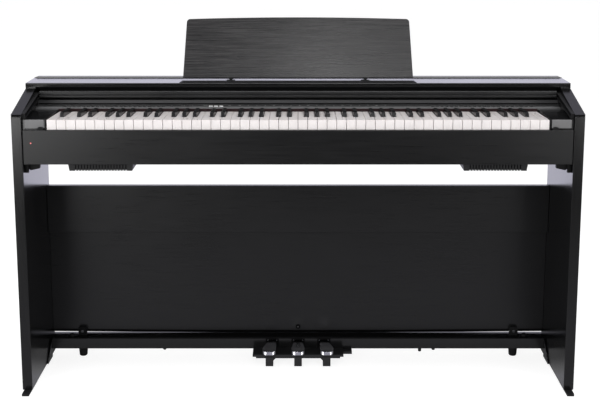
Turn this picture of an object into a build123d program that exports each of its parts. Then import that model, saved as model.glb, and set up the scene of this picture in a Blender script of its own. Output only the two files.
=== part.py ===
from build123d import *
import math
import os

# Compact console digital piano on its stand: two side panels carry a keyboard
# body with a sliding key cover, a lift-out music rest, two back boards and a
# bottom bar with three pedals.
# Millimetres, +Z up, player's side towards -Y. Depths are written as the
# distance behind the front faces of the side panels and shifted once, on
# saving, so that the origin is the middle of the footprint.

# Side panels and shoes
PANEL_THICKNESS = 25.0
SHOE_REACH = 27.0
SHOE_WIDTH = 17.5
SHOE_HEIGHT = 6.0
SHOE_SEAT = 70.0
EDGE_BREAK = 1.2

# Heights: the keys and the bar above the floor, the rest from these
KEY_TOP_HEIGHT = 697.5
LID_ABOVE_KEYS = 68.5
ARM_ABOVE_KEYS = 13.5
SLIP_BELOW_KEYS = 24.8
SLIP_HEIGHT = 84.7
BOARD_BELOW_SLIP = 110.0
UPPER_BOARD_HEIGHT = 128.0
BOARD_ABOVE_BAR = 4.0
BAR_BOTTOM_HEIGHT = 28.0
BAR_HEIGHT = 29.5

# Lid and rear of the body
LID_LEAD = 5.0
LID_THICKNESS = 14.0
LID_DEPTH = 114.0
LIP_HEIGHT = 3.5
LIP_DEPTH = 13.0
BACK_PANEL_THICKNESS = 12.0
BACK_PANEL_DROP = 170.0
BACK_PANEL_INSET = 2.0
KEYBED_THICKNESS = 15.0
KEYBED_RAISE = 2.0

# Key slip, cheek blocks and lamp
SLIP_THICKNESS = 18.0
SLIP_LIP_THICKNESS = 5.0
SLIP_LIP_HEIGHT = 17.0
SLIP_END_GAP = 1.8
CHEEK_WIDTH = 56.0
CHEEK_SETBACK = 6.0
CHEEK_HEIGHT_OVER_KEYS = 0.5
CHEEK_KEY_GAP = 3.5
PAD_WIDTH = 15.0
PAD_HEIGHT = 8.0
PAD_THICKNESS = 4.0
LAMP_DIAMETER = 4.6
LAMP_END_DISTANCE = 21.0
LAMP_BELOW_SLIP_TOP = 31.7
LAMP_PROUD = 0.6
LAMP_LENGTH = 8.0

# Keys
WHITE_PITCH = 23.5
WHITE_COUNT = 52
KEY_GAP = 1.0
KEY_SETBACK = 7.0
KEY_VISIBLE_LENGTH = 146.0
KEY_HEAD_LENGTH = 50.0
KEY_BACK_GAP = 21.0
KEY_HEIGHT = 24.0
KEY_REST_SLOPE = 1.85
KEY_NOSE = 1.2
BLACK_WIDTH = 10.5
BLACK_RISE = 10.8
BLACK_TAPER = 3.0
BLACK_FRONT_LEAN = 4.5
BLACK_TOP_CHAMFER = 1.4
PIVOT_INSET = 6.0
PIVOT_CLEARANCE = 0.3
PIVOT_RADIUS = 3.0
PIVOT_FIT = 0.06
FELT_THICKNESS = 3.6
FELT_KEY_CLEARANCE = 0.5

# Key chassis and circuit boards
CHASSIS_PLATE = 4.0
CHASSIS_END_MARGIN = 6.0
CHASSIS_FRONT = 24.0
CHASSIS_RAIL_THICKNESS = 5.0
CHASSIS_GUIDE_DROP = 24.0
RIDGE_WIDTH = 8.0
BOARD_THICKNESS = 1.6
CONTACT_BOARD_DEPTH = 46.0
CONTACT_BOARD_START = 85.0
CONTACT_BOARD_DROP = 32.0
MAIN_BOARD_WIDTH = 180.0
MAIN_BOARD_HEIGHT = 52.0
MAIN_BOARD_CENTRE = 330.0
STANDOFF_LENGTH = 4.0
STANDOFF_RADIUS = 3.0

# Control panel
PANEL_FACE_DEPTH = 28.0
PANEL_FACE_RISE = 6.5
PANEL_EDGE_HEIGHT = 3.2
PANEL_KEY_CLEARANCE = 5.2
PANEL_WALL = 3.0
LEDGE_GROOVE = 2.0
LEDGE_RISE = 10.5
LEDGE_DEPTH = 8.0
SPEAKER_SLOT_INNER = 340.0
SPEAKER_SLOT_INSET = 66.5
SPEAKER_SLOT_COUNT = 22
SPEAKER_SLOT_RIB = 4.0
SPEAKER_SLOT_DEPTH = 9.0

# Panel controls
BUTTON_WIDTH = 10.0
BUTTON_DEPTH = 6.0
BUTTON_PROUD = 1.6
BUTTON_CLEARANCE = 0.35
BUTTON_PITCH = 13.5
POWER_BUTTON_WIDTH = 10.0
POWER_FROM_SLOTS = 15.0
VOLUME_FROM_SLOTS = 55.0
BUTTONS_FROM_SLOTS = 116.0
VOLUME_TRAVEL = 22.0
VOLUME_CAP_WIDTH = 8.0
VOLUME_STEM_WIDTH = 4.0
VOLUME_CAP_HEIGHT = 4.0
VOLUME_SLOT_DEPTH = 3.0

# Key cover
RAIL_HEIGHT = 17.0
RAIL_THICKNESS = 8.0
RAIL_LID_DROP = 6.0
RAIL_GRIP_DEPTH = 1.6
RAIL_GRIP_HEIGHT = 6.0
LEAF_THICKNESS = 4.5
LEAF_STACK_GAP = 0.4
LEAF_END_CLEARANCE = 1.0
LEAF_REAR_CLEARANCE = 6.0
COVER_FRONT_STOP = 3.0
COVER_CLOSED_RISE = 9.7
ROLLER_RADIUS = 4.0
ROLLER_LENGTH = 6.0
ROLLER_CLEARANCE = 0.3
ROLLER_SIDE_CLEARANCE = 0.5
ROLLER_PIN_RADIUS = 2.0
ROLLER_PIN_LENGTH = 14.0
ROLLER_PIN_CLEARANCE = 0.08
ROLLER_SETBACK = 12.0
ROLLER_DROP = 11.0
GUIDE_WALL = 2.5
GUIDE_WEB = 2.0
GUIDE_END = 7.0

# Music rest
REST_BOTTOM_WIDTH = 596.0
REST_TOP_WIDTH = 579.0
REST_LENGTH = 159.5
REST_CROWN = 4.7
REST_THICKNESS = 9.0
REST_TILT = 17.0
REST_CORNER = 8.0
REST_LID_GAP = 7.5
REST_BEHIND_LID_FRONT = 47.0
PEG_SPACING = 349.0
PEG_TOP_WIDTH = 15.0
PEG_BOTTOM_WIDTH = 7.0
PEG_PIN_RADIUS = 2.6
PEG_PIN_LENGTH = 9.0
PEG_CLEARANCE = 0.3
SOCKET_WIDTH = 22.0
SOCKET_THICKNESS = 1.4
MAT_FRONT_INSET = 3.0
MAT_DEPTH = 36.0
MAT_THICKNESS = 1.4
MAT_OVERHANG = 5.0
MAT_END_SLANT = 4.0

# Speakers under the keybed
SPEAKER_BOX_INSET = 94.5
SPEAKER_BOX_WIDTH = 158.0
SPEAKER_BOX_FRONT = 87.0
SPEAKER_BOX_DEPTH = 130.0
SPEAKER_BOX_HEIGHT = 34.5
SPEAKER_BOX_DRAFT = 6.0
SPEAKER_WALL = 4.0
GRILLE_END = 12.0
GRILLE_SLOT_COUNT = 18
GRILLE_SLOT_WIDTH = 3.0
GRILLE_RIB_HEIGHT = 2.5
GRILLE_GROOVE = 2.8
DRIVER_RADIUS = 50.0
DRIVER_RIM = 3.0
DRIVER_DEPTH = 17.0
DRIVER_MAGNET_RADIUS = 24.0
DRIVER_HOLE_RADIUS = 45.0

# Brackets between keybed and side panels
BRACKET_WIDTH = 38.0
BRACKET_DEPTH = 32.0
BRACKET_START = 12.0
BRACKET_END_HEIGHT = 16.5
BRACKET_ROOT_HEIGHT = 20.5
BRACKET_LEG = 27.0
BRACKET_LEG_WIDTH = 10.0
BRACKET_SEAT = 14.0
KNOB_RADIUS = 5.5
KNOB_HEIGHT = 4.0

# Back boards, bottom bar and brackets on it
UPPER_BOARD_INSET = 34.5
UPPER_BOARD_THICKNESS = 18.5
LOWER_BOARD_THICKNESS = 12.0
LOWER_BOARD_CHAMFER = 10.0
BOARD_SCREW_RISE = 16.5
BOARD_SCREW_RADIUS = 6.5
BOARD_LAP = 8.0
BAR_INSET = 1.0
BAR_DEPTH = 50.0
BAR_FOOT_INSET = 82.5
BAR_FOOT_RADIUS = 12.5
BAR_FOOT_TIP_RADIUS = 10.5
CLAMP_INSET = 81.5
CLAMP_WIDTH = 22.0
CLAMP_DEPTH = 12.0
CLAMP_HEIGHT = 23.0
CAP_INSET = 53.5
CAP_RADIUS = 8.0
CAP_HEIGHT = 5.0
CAP_SETBACK = 22.0
GUSSET_THICKNESS = 4.0
GUSSET_FOOT = 56.0
GUSSET_TOP_DEPTH = 16.0
GUSSET_HEIGHT = 46.0

# Pedals
PEDAL_SPACING = 76.5
PEDAL_ROOT_SHIFT = 6.5
PEDAL_REACH = 76.0
PEDAL_BELOW_BAR_TOP = 6.5
PEDAL_THICKNESS = 7.0
PEDAL_TIP_WIDTH = 35.0
PEDAL_TIP_LENGTH = 30.0
PEDAL_TIP_DROP = 8.0
PEDAL_NECK_WIDTH = 22.0
PEDAL_SLOT_WIDTH = 27.0
PEDAL_SLOT_BELOW = 7.0
PEDAL_SLOT_ABOVE = 3.5
PEDAL_TAIL = 16.0
PEDAL_TAIL_CLEARANCE = 2.0
PEDAL_ROD_RADIUS = 3.0
PEDAL_ROD_CLEARANCE = 0.06
PEDAL_ROD_SETBACK = 14.0
PEDAL_ROD_MARGIN = 12.0
PEDAL_BOX_REACH = 51.0
PEDAL_BOX_MARGIN = 45.0
PEDAL_BOX_DROP = 7.0
PEDAL_BOX_RISE = 3.0
PEDAL_BOX_FOOT_INSET = 9.0
PEDAL_BOX_STEP = 4.0
PEDAL_BOX_SIDE = 24.0
PEDAL_BOX_SIDE_LEAD = 21.0
PEDAL_BOX_BACK_INSET = 9.0
PEDAL_LEG_WIDTH = 20.5
PEDAL_LEG_DEPTH = 20.0
PEDAL_LEG_PROUD = 3.5
PEDAL_LEG_WEB = 6.5

# Sockets at the back
JACK_PLATE_WIDTH = 150.0
JACK_PLATE_HEIGHT = 34.0
JACK_PLATE_INSET = 250.5
JACK_PLATE_DROP = 58.0
JACK_PLATE_THICKNESS = 3.0
JACK_FLANGE = 5.0
INLET_RADIUS = 5.5
PHONE_JACK_RADIUS = 4.2
DATA_PORT_SIZE = 11.0

# Screws
SCREW_HEAD_RADIUS = 4.0
SCREW_HEAD_HEIGHT = 2.0
BACK_SCREW_COUNT = 7
BACK_SCREW_MARGIN = 40.0

# Derived places across the width
KEYS_HALF = WHITE_COUNT * WHITE_PITCH / 2
CHEEK_INNER = KEYS_HALF + CHEEK_KEY_GAP
INNER_X = CHEEK_INNER + CHEEK_WIDTH
WIDTH = 2 * (INNER_X + PANEL_THICKNESS)
BAR_FOOT_X = INNER_X - BAR_FOOT_INSET
CLAMP_X = INNER_X - CLAMP_INSET
CAP_X = INNER_X - CAP_INSET
JACK_PLATE_X = JACK_PLATE_INSET - INNER_X
SPEAKER_BOX_INNER = INNER_X - SPEAKER_BOX_INSET - SPEAKER_BOX_WIDTH
SPEAKER_SLOT_RUN = INNER_X - SPEAKER_SLOT_INSET - SPEAKER_SLOT_INNER
SPEAKER_SLOT_PITCH = SPEAKER_SLOT_RUN / SPEAKER_SLOT_COUNT
POWER_BUTTON_X = POWER_FROM_SLOTS - SPEAKER_SLOT_INNER
VOLUME_X = VOLUME_FROM_SLOTS - SPEAKER_SLOT_INNER
FUNCTION_BUTTON_X = BUTTONS_FROM_SLOTS - SPEAKER_SLOT_INNER
TONE_BUTTON_X = FUNCTION_BUTTON_X + BUTTON_PITCH
METRONOME_BUTTON_X = TONE_BUTTON_X + BUTTON_PITCH
MAT_HALF_LENGTH = REST_BOTTOM_WIDTH / 2 + MAT_OVERHANG
PEDAL_ROOT_SPACING = PEDAL_SPACING - PEDAL_ROOT_SHIFT
PEDAL_BOX_HALF_WIDTH = PEDAL_SPACING + PEDAL_BOX_MARGIN

# Derived heights
LID_TOP_HEIGHT = KEY_TOP_HEIGHT + LID_ABOVE_KEYS
ARM_CORNER_HEIGHT = KEY_TOP_HEIGHT + ARM_ABOVE_KEYS
CHEEK_TOP = KEY_TOP_HEIGHT + CHEEK_HEIGHT_OVER_KEYS
SLIP_TOP_HEIGHT = KEY_TOP_HEIGHT - SLIP_BELOW_KEYS
SLIP_BOTTOM_HEIGHT = SLIP_TOP_HEIGHT - SLIP_HEIGHT
LAMP_HEIGHT = SLIP_TOP_HEIGHT - LAMP_BELOW_SLIP_TOP
UPPER_BOARD_TOP = SLIP_BOTTOM_HEIGHT - BOARD_BELOW_SLIP
UPPER_BOARD_BOTTOM = UPPER_BOARD_TOP - UPPER_BOARD_HEIGHT
BAR_TOP_HEIGHT = BAR_BOTTOM_HEIGHT + BAR_HEIGHT
LOWER_BOARD_BOTTOM = BAR_TOP_HEIGHT + BOARD_ABOVE_BAR
PEDAL_TOP_HEIGHT = BAR_TOP_HEIGHT - PEDAL_BELOW_BAR_TOP
PEDAL_BOX_BOTTOM = BAR_BOTTOM_HEIGHT - PEDAL_BOX_DROP
PEDAL_BOX_TOP = BAR_BOTTOM_HEIGHT + PEDAL_BOX_RISE

# Derived depths, and heights that go with them
KEY_VISIBLE_END = KEY_SETBACK + KEY_VISIBLE_LENGTH
LID_FRONT = KEY_VISIBLE_END + LID_LEAD
PANEL_DEPTH = LID_FRONT + LID_DEPTH
FRONT = SHOE_REACH - (PANEL_DEPTH + SHOE_REACH) / 2
LID_BOTTOM = LID_TOP_HEIGHT - LID_THICKNESS
BACK_PANEL_FRONT = PANEL_DEPTH - BACK_PANEL_INSET - BACK_PANEL_THICKNESS
KEYBED_BOTTOM = SLIP_BOTTOM_HEIGHT + KEYBED_RAISE
KEYBED_TOP = KEYBED_BOTTOM + KEYBED_THICKNESS
KEY_BOTTOM = KEY_TOP_HEIGHT - KEY_HEIGHT
KEY_END = BACK_PANEL_FRONT - KEY_BACK_GAP
PIVOT_Y = KEY_END - PIVOT_INSET
PANEL_FRONT = KEY_VISIBLE_END + FELT_KEY_CLEARANCE
PANEL_FACE_END = PANEL_FRONT + PANEL_FACE_DEPTH
LEDGE_FRONT = PANEL_FACE_END + LEDGE_GROOVE
LEDGE_END = LEDGE_FRONT + LEDGE_DEPTH
RAIL_TOP = LID_BOTTOM - RAIL_LID_DROP
RAIL_BOTTOM = RAIL_TOP - RAIL_HEIGHT
GUIDE_REACH = GUIDE_WEB + ROLLER_SIDE_CLEARANCE + ROLLER_LENGTH
LEAF_HALF = INNER_X - GUIDE_REACH - LEAF_END_CLEARANCE
LEAF_END = BACK_PANEL_FRONT - LEAF_REAR_CLEARANCE
ROLLER_Y = LID_FRONT + ROLLER_SETBACK
ROLLER_Z = RAIL_TOP - ROLLER_DROP
COVER_TRAVEL = LID_FRONT - COVER_FRONT_STOP
COVER_DROP = ROLLER_Z - CHEEK_TOP - COVER_CLOSED_RISE
COVER_SLOPE = math.degrees(math.atan2(COVER_DROP, COVER_TRAVEL))
REST_SETBACK = LID_FRONT + REST_BEHIND_LID_FRONT
UPPER_BOARD_SETBACK = PANEL_DEPTH - UPPER_BOARD_INSET
BAR_BACK = PANEL_DEPTH - BAR_INSET
BAR_SETBACK = BAR_BACK - BAR_DEPTH
PEDAL_BOX_FRONT = BAR_SETBACK - PEDAL_BOX_REACH
PEDAL_BOX_BACK = BAR_BACK - PEDAL_BOX_BACK_INSET
PEDAL_LEG_SETBACK = PEDAL_BOX_FRONT - PEDAL_LEG_PROUD
PEDAL_ROD_Y = BAR_SETBACK + PEDAL_ROD_SETBACK
PEDAL_ROD_Z = PEDAL_TOP_HEIGHT - PEDAL_THICKNESS / 2
PEDAL_TIP_Y = BAR_SETBACK - PEDAL_REACH
LOWER_BOARD_FRONT = UPPER_BOARD_SETBACK + UPPER_BOARD_THICKNESS


def slope_drop(length):
    return length * math.tan(math.radians(KEY_REST_SLOPE))


def key_top_at(depth):
    return KEY_TOP_HEIGHT - slope_drop(depth - KEY_SETBACK)


PANEL_BOTTOM = key_top_at(KEY_VISIBLE_END) + PANEL_KEY_CLEARANCE
PANEL_EDGE = PANEL_BOTTOM + PANEL_EDGE_HEIGHT
PANEL_FACE_TOP = PANEL_EDGE + PANEL_FACE_RISE
LEDGE_TOP = PANEL_FACE_TOP + LEDGE_RISE
PANEL_SLOPE = math.degrees(math.atan2(PANEL_FACE_RISE, PANEL_FACE_DEPTH))


def block(x0, x1, y0, y1, z0, z1):
    corner = (Align.MIN, Align.MIN, Align.MIN)
    return Pos(x0, y0, z0) * Box(x1 - x0, y1 - y0, z1 - z0, align=corner)


def side_profile(points, x0, x1):
    """A flat outline in depth and height, drawn out along the width."""
    outline = Plane.YZ.offset(x0) * Polygon(*points, align=None)
    return extrude(outline, amount=x1 - x0, dir=(1, 0, 0))


def front_profile(points, y0, y1):
    """A flat outline in width and height, drawn out backwards."""
    outline = Plane.XZ.offset(-y0) * Polygon(*points, align=None)
    return extrude(outline, amount=y1 - y0, dir=(0, 1, 0))


def flat_profile(points, z0, z1):
    """A flat outline in width and depth, drawn out upwards."""
    outline = Pos(0, 0, z0) * Polygon(*points, align=None)
    return extrude(outline, amount=z1 - z0, dir=(0, 0, 1))


def rod(radius, x0, x1, y, z):
    """A round bar along the width."""
    return Pos(x0, y, z) * Rot(0, 90, 0) * Cylinder(
        radius, x1 - x0, align=(Align.CENTER, Align.CENTER, Align.MIN)
    )


def post(radius, x, y, z0, z1):
    """A round bar standing upright."""
    foot = (Align.CENTER, Align.CENTER, Align.MIN)
    return Pos(x, y, z0) * Cylinder(radius, z1 - z0, align=foot)


def plug_y(radius, x, y0, y1, z):
    """A round bar along the depth."""
    foot = (Align.CENTER, Align.CENTER, Align.MIN)
    return Pos(x, y0, z) * Rot(-90, 0, 0) * Cylinder(radius, y1 - y0, align=foot)


def both_sides(shape):
    return [shape, mirror(shape, about=Plane.YZ)]


def save(name, *shapes):
    solids = []
    for shape in shapes:
        moved = Pos(0, FRONT, 0) * shape
        solids.extend(moved.solids())
    export_step(Compound(children=solids), f"parts/{name}.step")


# Stand: side panels, shoes and brackets
def side_panel():
    outline = [
        (0, SHOE_HEIGHT),
        (0, ARM_CORNER_HEIGHT),
        (LID_FRONT, LID_BOTTOM),
        (PANEL_DEPTH, LID_BOTTOM),
        (PANEL_DEPTH, SHOE_HEIGHT),
    ]
    panel = side_profile(outline, INNER_X, WIDTH / 2)
    front_edges = panel.edges().filter_by(lambda e: e.center().Y < LID_FRONT - EDGE_BREAK)
    long_edges = front_edges.filter_by(lambda e: e.length > PANEL_THICKNESS * 2)
    outer_front = long_edges.filter_by(lambda e: e.center().Z > ARM_CORNER_HEIGHT / 3)
    return chamfer(outer_front, EDGE_BREAK)


def shoes():
    middle = (INNER_X + WIDTH / 2) / 2
    x0 = middle - SHOE_WIDTH / 2
    x1 = middle + SHOE_WIDTH / 2
    front = block(x0, x1, -SHOE_REACH, SHOE_SEAT, 0, SHOE_HEIGHT)
    nose = front.edges().filter_by(Axis.Z).group_by(Axis.Y)[0]
    front = chamfer(nose, SHOE_WIDTH / 5)
    top_nose = front.edges().group_by(Axis.Y)[0].group_by(Axis.Z)[-1]
    front = chamfer(top_nose, SHOE_HEIGHT / 4)
    rear = block(x0, x1, PANEL_DEPTH - SHOE_SEAT, PANEL_DEPTH - EDGE_BREAK, 0, SHOE_HEIGHT)
    return both_sides(front) + both_sides(rear)


def bar_feet():
    foot = Pos(BAR_FOOT_X, BAR_SETBACK + BAR_DEPTH / 2, 0) * Cone(
        BAR_FOOT_TIP_RADIUS,
        BAR_FOOT_RADIUS,
        BAR_BOTTOM_HEIGHT,
        align=(Align.CENTER, Align.CENTER, Align.MIN),
    )
    return both_sides(foot)


def keybed_bracket():
    """Moulded angle with a flat seat for its knob and a leg down the side panel."""
    z1 = KEYBED_BOTTOM
    x0 = INNER_X - BRACKET_WIDTH
    leg = INNER_X - BRACKET_LEG_WIDTH
    y0 = SLIP_THICKNESS + BRACKET_START
    outline = [
        (x0, z1), (INNER_X, z1), (INNER_X, z1 - BRACKET_LEG), (leg, z1 - BRACKET_LEG),
        (leg, z1 - BRACKET_ROOT_HEIGHT), (leg - EDGE_BREAK, z1 - BRACKET_ROOT_HEIGHT),
        (x0 + BRACKET_SEAT, z1 - BRACKET_END_HEIGHT), (x0, z1 - BRACKET_END_HEIGHT),
    ]
    return front_profile(outline, y0, y0 + BRACKET_DEPTH)


def floor_gusset():
    outline = [
        (BAR_SETBACK, SHOE_HEIGHT),
        (BAR_SETBACK - GUSSET_FOOT, SHOE_HEIGHT),
        (BAR_SETBACK - GUSSET_TOP_DEPTH, GUSSET_HEIGHT),
        (BAR_SETBACK, BAR_TOP_HEIGHT),
    ]
    return side_profile(outline, INNER_X - GUSSET_THICKNESS, INNER_X)


def board_clamp():
    x0 = CLAMP_X - CLAMP_WIDTH / 2
    x1 = CLAMP_X + CLAMP_WIDTH / 2
    return block(
        x0, x1, LOWER_BOARD_FRONT - CLAMP_DEPTH, LOWER_BOARD_FRONT,
        BAR_TOP_HEIGHT, BAR_TOP_HEIGHT + CLAMP_HEIGHT,
    )


def upper_back_board():
    board = block(
        -INNER_X, INNER_X, UPPER_BOARD_SETBACK, LOWER_BOARD_FRONT,
        UPPER_BOARD_BOTTOM, UPPER_BOARD_TOP,
    )
    top_front = board.edges().filter_by(Axis.X).group_by(Axis.Y)[0]
    return chamfer(top_front, EDGE_BREAK)


def lower_back_board():
    """Its foot is cut back under the front face."""
    y0 = LOWER_BOARD_FRONT
    y1 = LOWER_BOARD_FRONT + LOWER_BOARD_THICKNESS
    top = UPPER_BOARD_BOTTOM + BOARD_LAP
    outline = [
        (y0, LOWER_BOARD_BOTTOM + LOWER_BOARD_CHAMFER), (y0, top), (y1, top),
        (y1, LOWER_BOARD_BOTTOM), (y0 + LOWER_BOARD_CHAMFER, LOWER_BOARD_BOTTOM),
    ]
    return side_profile(outline, -INNER_X, INNER_X)


def pedal_places():
    return [-PEDAL_SPACING, 0.0, PEDAL_SPACING]


def pedal_root(x):
    """Where a pedal goes into the bar: the outer two turn outwards in front of it."""
    return x * PEDAL_ROOT_SPACING / PEDAL_SPACING


def bottom_bar():
    bar = block(-INNER_X, INNER_X, BAR_SETBACK, BAR_BACK, BAR_BOTTOM_HEIGHT, BAR_TOP_HEIGHT)
    front_edges = bar.edges().filter_by(Axis.X).group_by(Axis.Y)[0]
    bar = chamfer(front_edges, EDGE_BREAK)
    slot_bottom = PEDAL_TOP_HEIGHT - PEDAL_THICKNESS - PEDAL_SLOT_BELOW
    slot_top = PEDAL_TOP_HEIGHT + PEDAL_SLOT_ABOVE
    slot_end = PEDAL_ROD_Y + PEDAL_TAIL + PEDAL_TAIL_CLEARANCE
    for x in pedal_places():
        root = pedal_root(x)
        half = PEDAL_SLOT_WIDTH / 2
        bar -= block(
            root - half, root + half, BAR_SETBACK, slot_end, slot_bottom, slot_top
        )
    bar -= pedal_rod()
    return bar


def pedal_rod():
    half = PEDAL_ROOT_SPACING + PEDAL_SLOT_WIDTH / 2 + PEDAL_ROD_MARGIN
    return rod(PEDAL_ROD_RADIUS, -half, half, PEDAL_ROD_Y, PEDAL_ROD_Z)


def pedal_box():
    half = PEDAL_BOX_HALF_WIDTH
    foot = half - PEDAL_BOX_FOOT_INSET
    step = PEDAL_BOX_BOTTOM + PEDAL_BOX_STEP
    tray = block(-half, half, PEDAL_BOX_FRONT, BAR_SETBACK, step, PEDAL_BOX_TOP)
    under = block(-half, half, PEDAL_BOX_FRONT, PEDAL_BOX_BACK, step, BAR_BOTTOM_HEIGHT)
    sole = block(-foot, foot, PEDAL_BOX_FRONT, PEDAL_BOX_BACK, PEDAL_BOX_BOTTOM, step)
    side_front = BAR_SETBACK - PEDAL_BOX_SIDE_LEAD
    side = block(
        half, half + PEDAL_BOX_SIDE, side_front, PEDAL_BOX_BACK, PEDAL_BOX_BOTTOM, BAR_BOTTOM_HEIGHT
    )
    box = tray + under + sole + side
    for x in pedal_places():
        leg_half = PEDAL_LEG_WIDTH / 2
        box += block(
            x - leg_half, x + leg_half, PEDAL_LEG_SETBACK, PEDAL_LEG_SETBACK + PEDAL_LEG_DEPTH,
            0, step,
        )
    return box + leg_web(-PEDAL_SPACING, 1) + leg_web(PEDAL_SPACING, -1)


def leg_web(x, side):
    """Small corner web between an outer leg and the tray, on the leg's inner side."""
    near = x + side * PEDAL_LEG_WIDTH / 2
    far = near + side * PEDAL_LEG_WEB
    low = PEDAL_BOX_BOTTOM - PEDAL_LEG_WEB
    outline = [(near, low), (far, PEDAL_BOX_BOTTOM), (near, PEDAL_BOX_BOTTOM)]
    y1 = PEDAL_LEG_SETBACK + PEDAL_LEG_DEPTH
    return front_profile(outline, PEDAL_BOX_FRONT, y1)


def pedal(x):
    root = pedal_root(x)
    z1 = PEDAL_TOP_HEIGHT
    z0 = z1 - PEDAL_THICKNESS
    neck = PEDAL_NECK_WIDTH / 2
    tip = PEDAL_TIP_WIDTH / 2
    tip_end = PEDAL_TIP_Y + PEDAL_TIP_LENGTH
    plan = [
        (x - tip, tip_end),
        (x - tip, PEDAL_TIP_Y + tip / 2),
        (x - tip / 2, PEDAL_TIP_Y),
        (x + tip / 2, PEDAL_TIP_Y),
        (x + tip, PEDAL_TIP_Y + tip / 2),
        (x + tip, tip_end),
        (root + neck, BAR_SETBACK),
        (root + neck, PEDAL_ROD_Y + PEDAL_TAIL),
        (root - neck, PEDAL_ROD_Y + PEDAL_TAIL),
        (root - neck, BAR_SETBACK),
    ]
    lever = flat_profile(plan, z0, z1)
    nose = flat_profile(plan[1:5], z0 - PEDAL_TIP_DROP, z0)
    bore = PEDAL_ROD_RADIUS + PEDAL_ROD_CLEARANCE
    return lever + nose - rod(bore, root - tip, root + tip, PEDAL_ROD_Y, PEDAL_ROD_Z)


# Body: lid, back, keybed, slip and cheeks
def rest_place():
    """The middle of the music rest's lower edge, with up along the tilted board."""
    return Pos(0, REST_SETBACK, LID_TOP_HEIGHT + REST_LID_GAP) * Rot(-REST_TILT, 0, 0)


def peg_pin(x, radius):
    middle = REST_LID_GAP / math.cos(math.radians(REST_TILT))
    foot = (Align.CENTER, Align.CENTER, Align.MIN)
    pin = Pos(x, REST_THICKNESS / 2, -middle - PEG_PIN_LENGTH) * Cylinder(
        radius, PEG_PIN_LENGTH + middle / 2, align=foot
    )
    return rest_place() * pin


def top_lid():
    slab = block(-WIDTH / 2, WIDTH / 2, LID_FRONT, PANEL_DEPTH, LID_BOTTOM, LID_TOP_HEIGHT)
    front_edges = slab.edges().filter_by(Axis.X).group_by(Axis.Y)[0]
    slab = chamfer(front_edges, EDGE_BREAK)
    lip = block(
        -WIDTH / 2, WIDTH / 2, PANEL_DEPTH - LIP_DEPTH, PANEL_DEPTH,
        LID_TOP_HEIGHT, LID_TOP_HEIGHT + LIP_HEIGHT,
    )
    lip = chamfer(lip.edges().group_by(Axis.Z)[-1], LIP_HEIGHT / 2)
    lid = slab + lip
    for x in (-PEG_SPACING / 2, PEG_SPACING / 2):
        lid -= peg_pin(x, PEG_PIN_RADIUS + PEG_CLEARANCE)
    return lid


def back_panel():
    panel = block(
        -INNER_X, INNER_X, BACK_PANEL_FRONT, BACK_PANEL_FRONT + BACK_PANEL_THICKNESS,
        LID_BOTTOM - BACK_PANEL_DROP, LID_BOTTOM,
    )
    half_w = JACK_PLATE_WIDTH / 2
    top = LID_BOTTOM - JACK_PLATE_DROP
    window = block(
        JACK_PLATE_X - half_w, JACK_PLATE_X + half_w, BACK_PANEL_FRONT,
        BACK_PANEL_FRONT + BACK_PANEL_THICKNESS, top - JACK_PLATE_HEIGHT, top,
    )
    return panel - window


def jack_panel():
    half_w = JACK_PLATE_WIDTH / 2
    top = LID_BOTTOM - JACK_PLATE_DROP
    bottom = top - JACK_PLATE_HEIGHT
    middle = (top + bottom) / 2
    y1 = BACK_PANEL_FRONT + JACK_PLATE_THICKNESS
    plate = block(JACK_PLATE_X - half_w, JACK_PLATE_X + half_w, BACK_PANEL_FRONT, y1, bottom, top)
    flange = block(
        JACK_PLATE_X - half_w - JACK_FLANGE, JACK_PLATE_X + half_w + JACK_FLANGE,
        BACK_PANEL_FRONT - JACK_PLATE_THICKNESS, BACK_PANEL_FRONT,
        bottom - JACK_FLANGE, top + JACK_FLANGE,
    )
    plate += flange
    y0 = BACK_PANEL_FRONT - JACK_PLATE_THICKNESS
    step = JACK_PLATE_WIDTH / 5
    plate -= plug_y(INLET_RADIUS, JACK_PLATE_X - 2 * step, y0, y1, middle)
    port = DATA_PORT_SIZE / 2
    plate -= block(
        JACK_PLATE_X - step - port, JACK_PLATE_X - step + port, y0, y1, middle - port, middle + port
    )
    plate -= plug_y(PHONE_JACK_RADIUS, JACK_PLATE_X + step / 2, y0, y1, middle)
    plate -= plug_y(PHONE_JACK_RADIUS, JACK_PLATE_X + step * 1.5, y0, y1, middle)
    return plate


def keybed():
    return block(
        -INNER_X, INNER_X, SLIP_THICKNESS, BACK_PANEL_FRONT, KEYBED_BOTTOM, KEYBED_TOP
    )


def key_slip():
    half = INNER_X - SLIP_END_GAP
    shoulder = SLIP_TOP_HEIGHT - SLIP_LIP_HEIGHT
    outline = [
        (0, SLIP_BOTTOM_HEIGHT),
        (0, SLIP_TOP_HEIGHT),
        (SLIP_LIP_THICKNESS, SLIP_TOP_HEIGHT),
        (SLIP_LIP_THICKNESS, shoulder),
        (SLIP_THICKNESS, shoulder),
        (SLIP_THICKNESS, SLIP_BOTTOM_HEIGHT),
    ]
    slip = side_profile(outline, -half, half)
    front_edges = slip.edges().filter_by(Axis.X).group_by(Axis.Y)[0]
    slip = chamfer(front_edges, EDGE_BREAK)
    return slip - power_lamp()


def power_lamp():
    x = -INNER_X + LAMP_END_DISTANCE
    return plug_y(LAMP_DIAMETER / 2, x, -LAMP_PROUD, LAMP_LENGTH - LAMP_PROUD, LAMP_HEIGHT)


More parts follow.
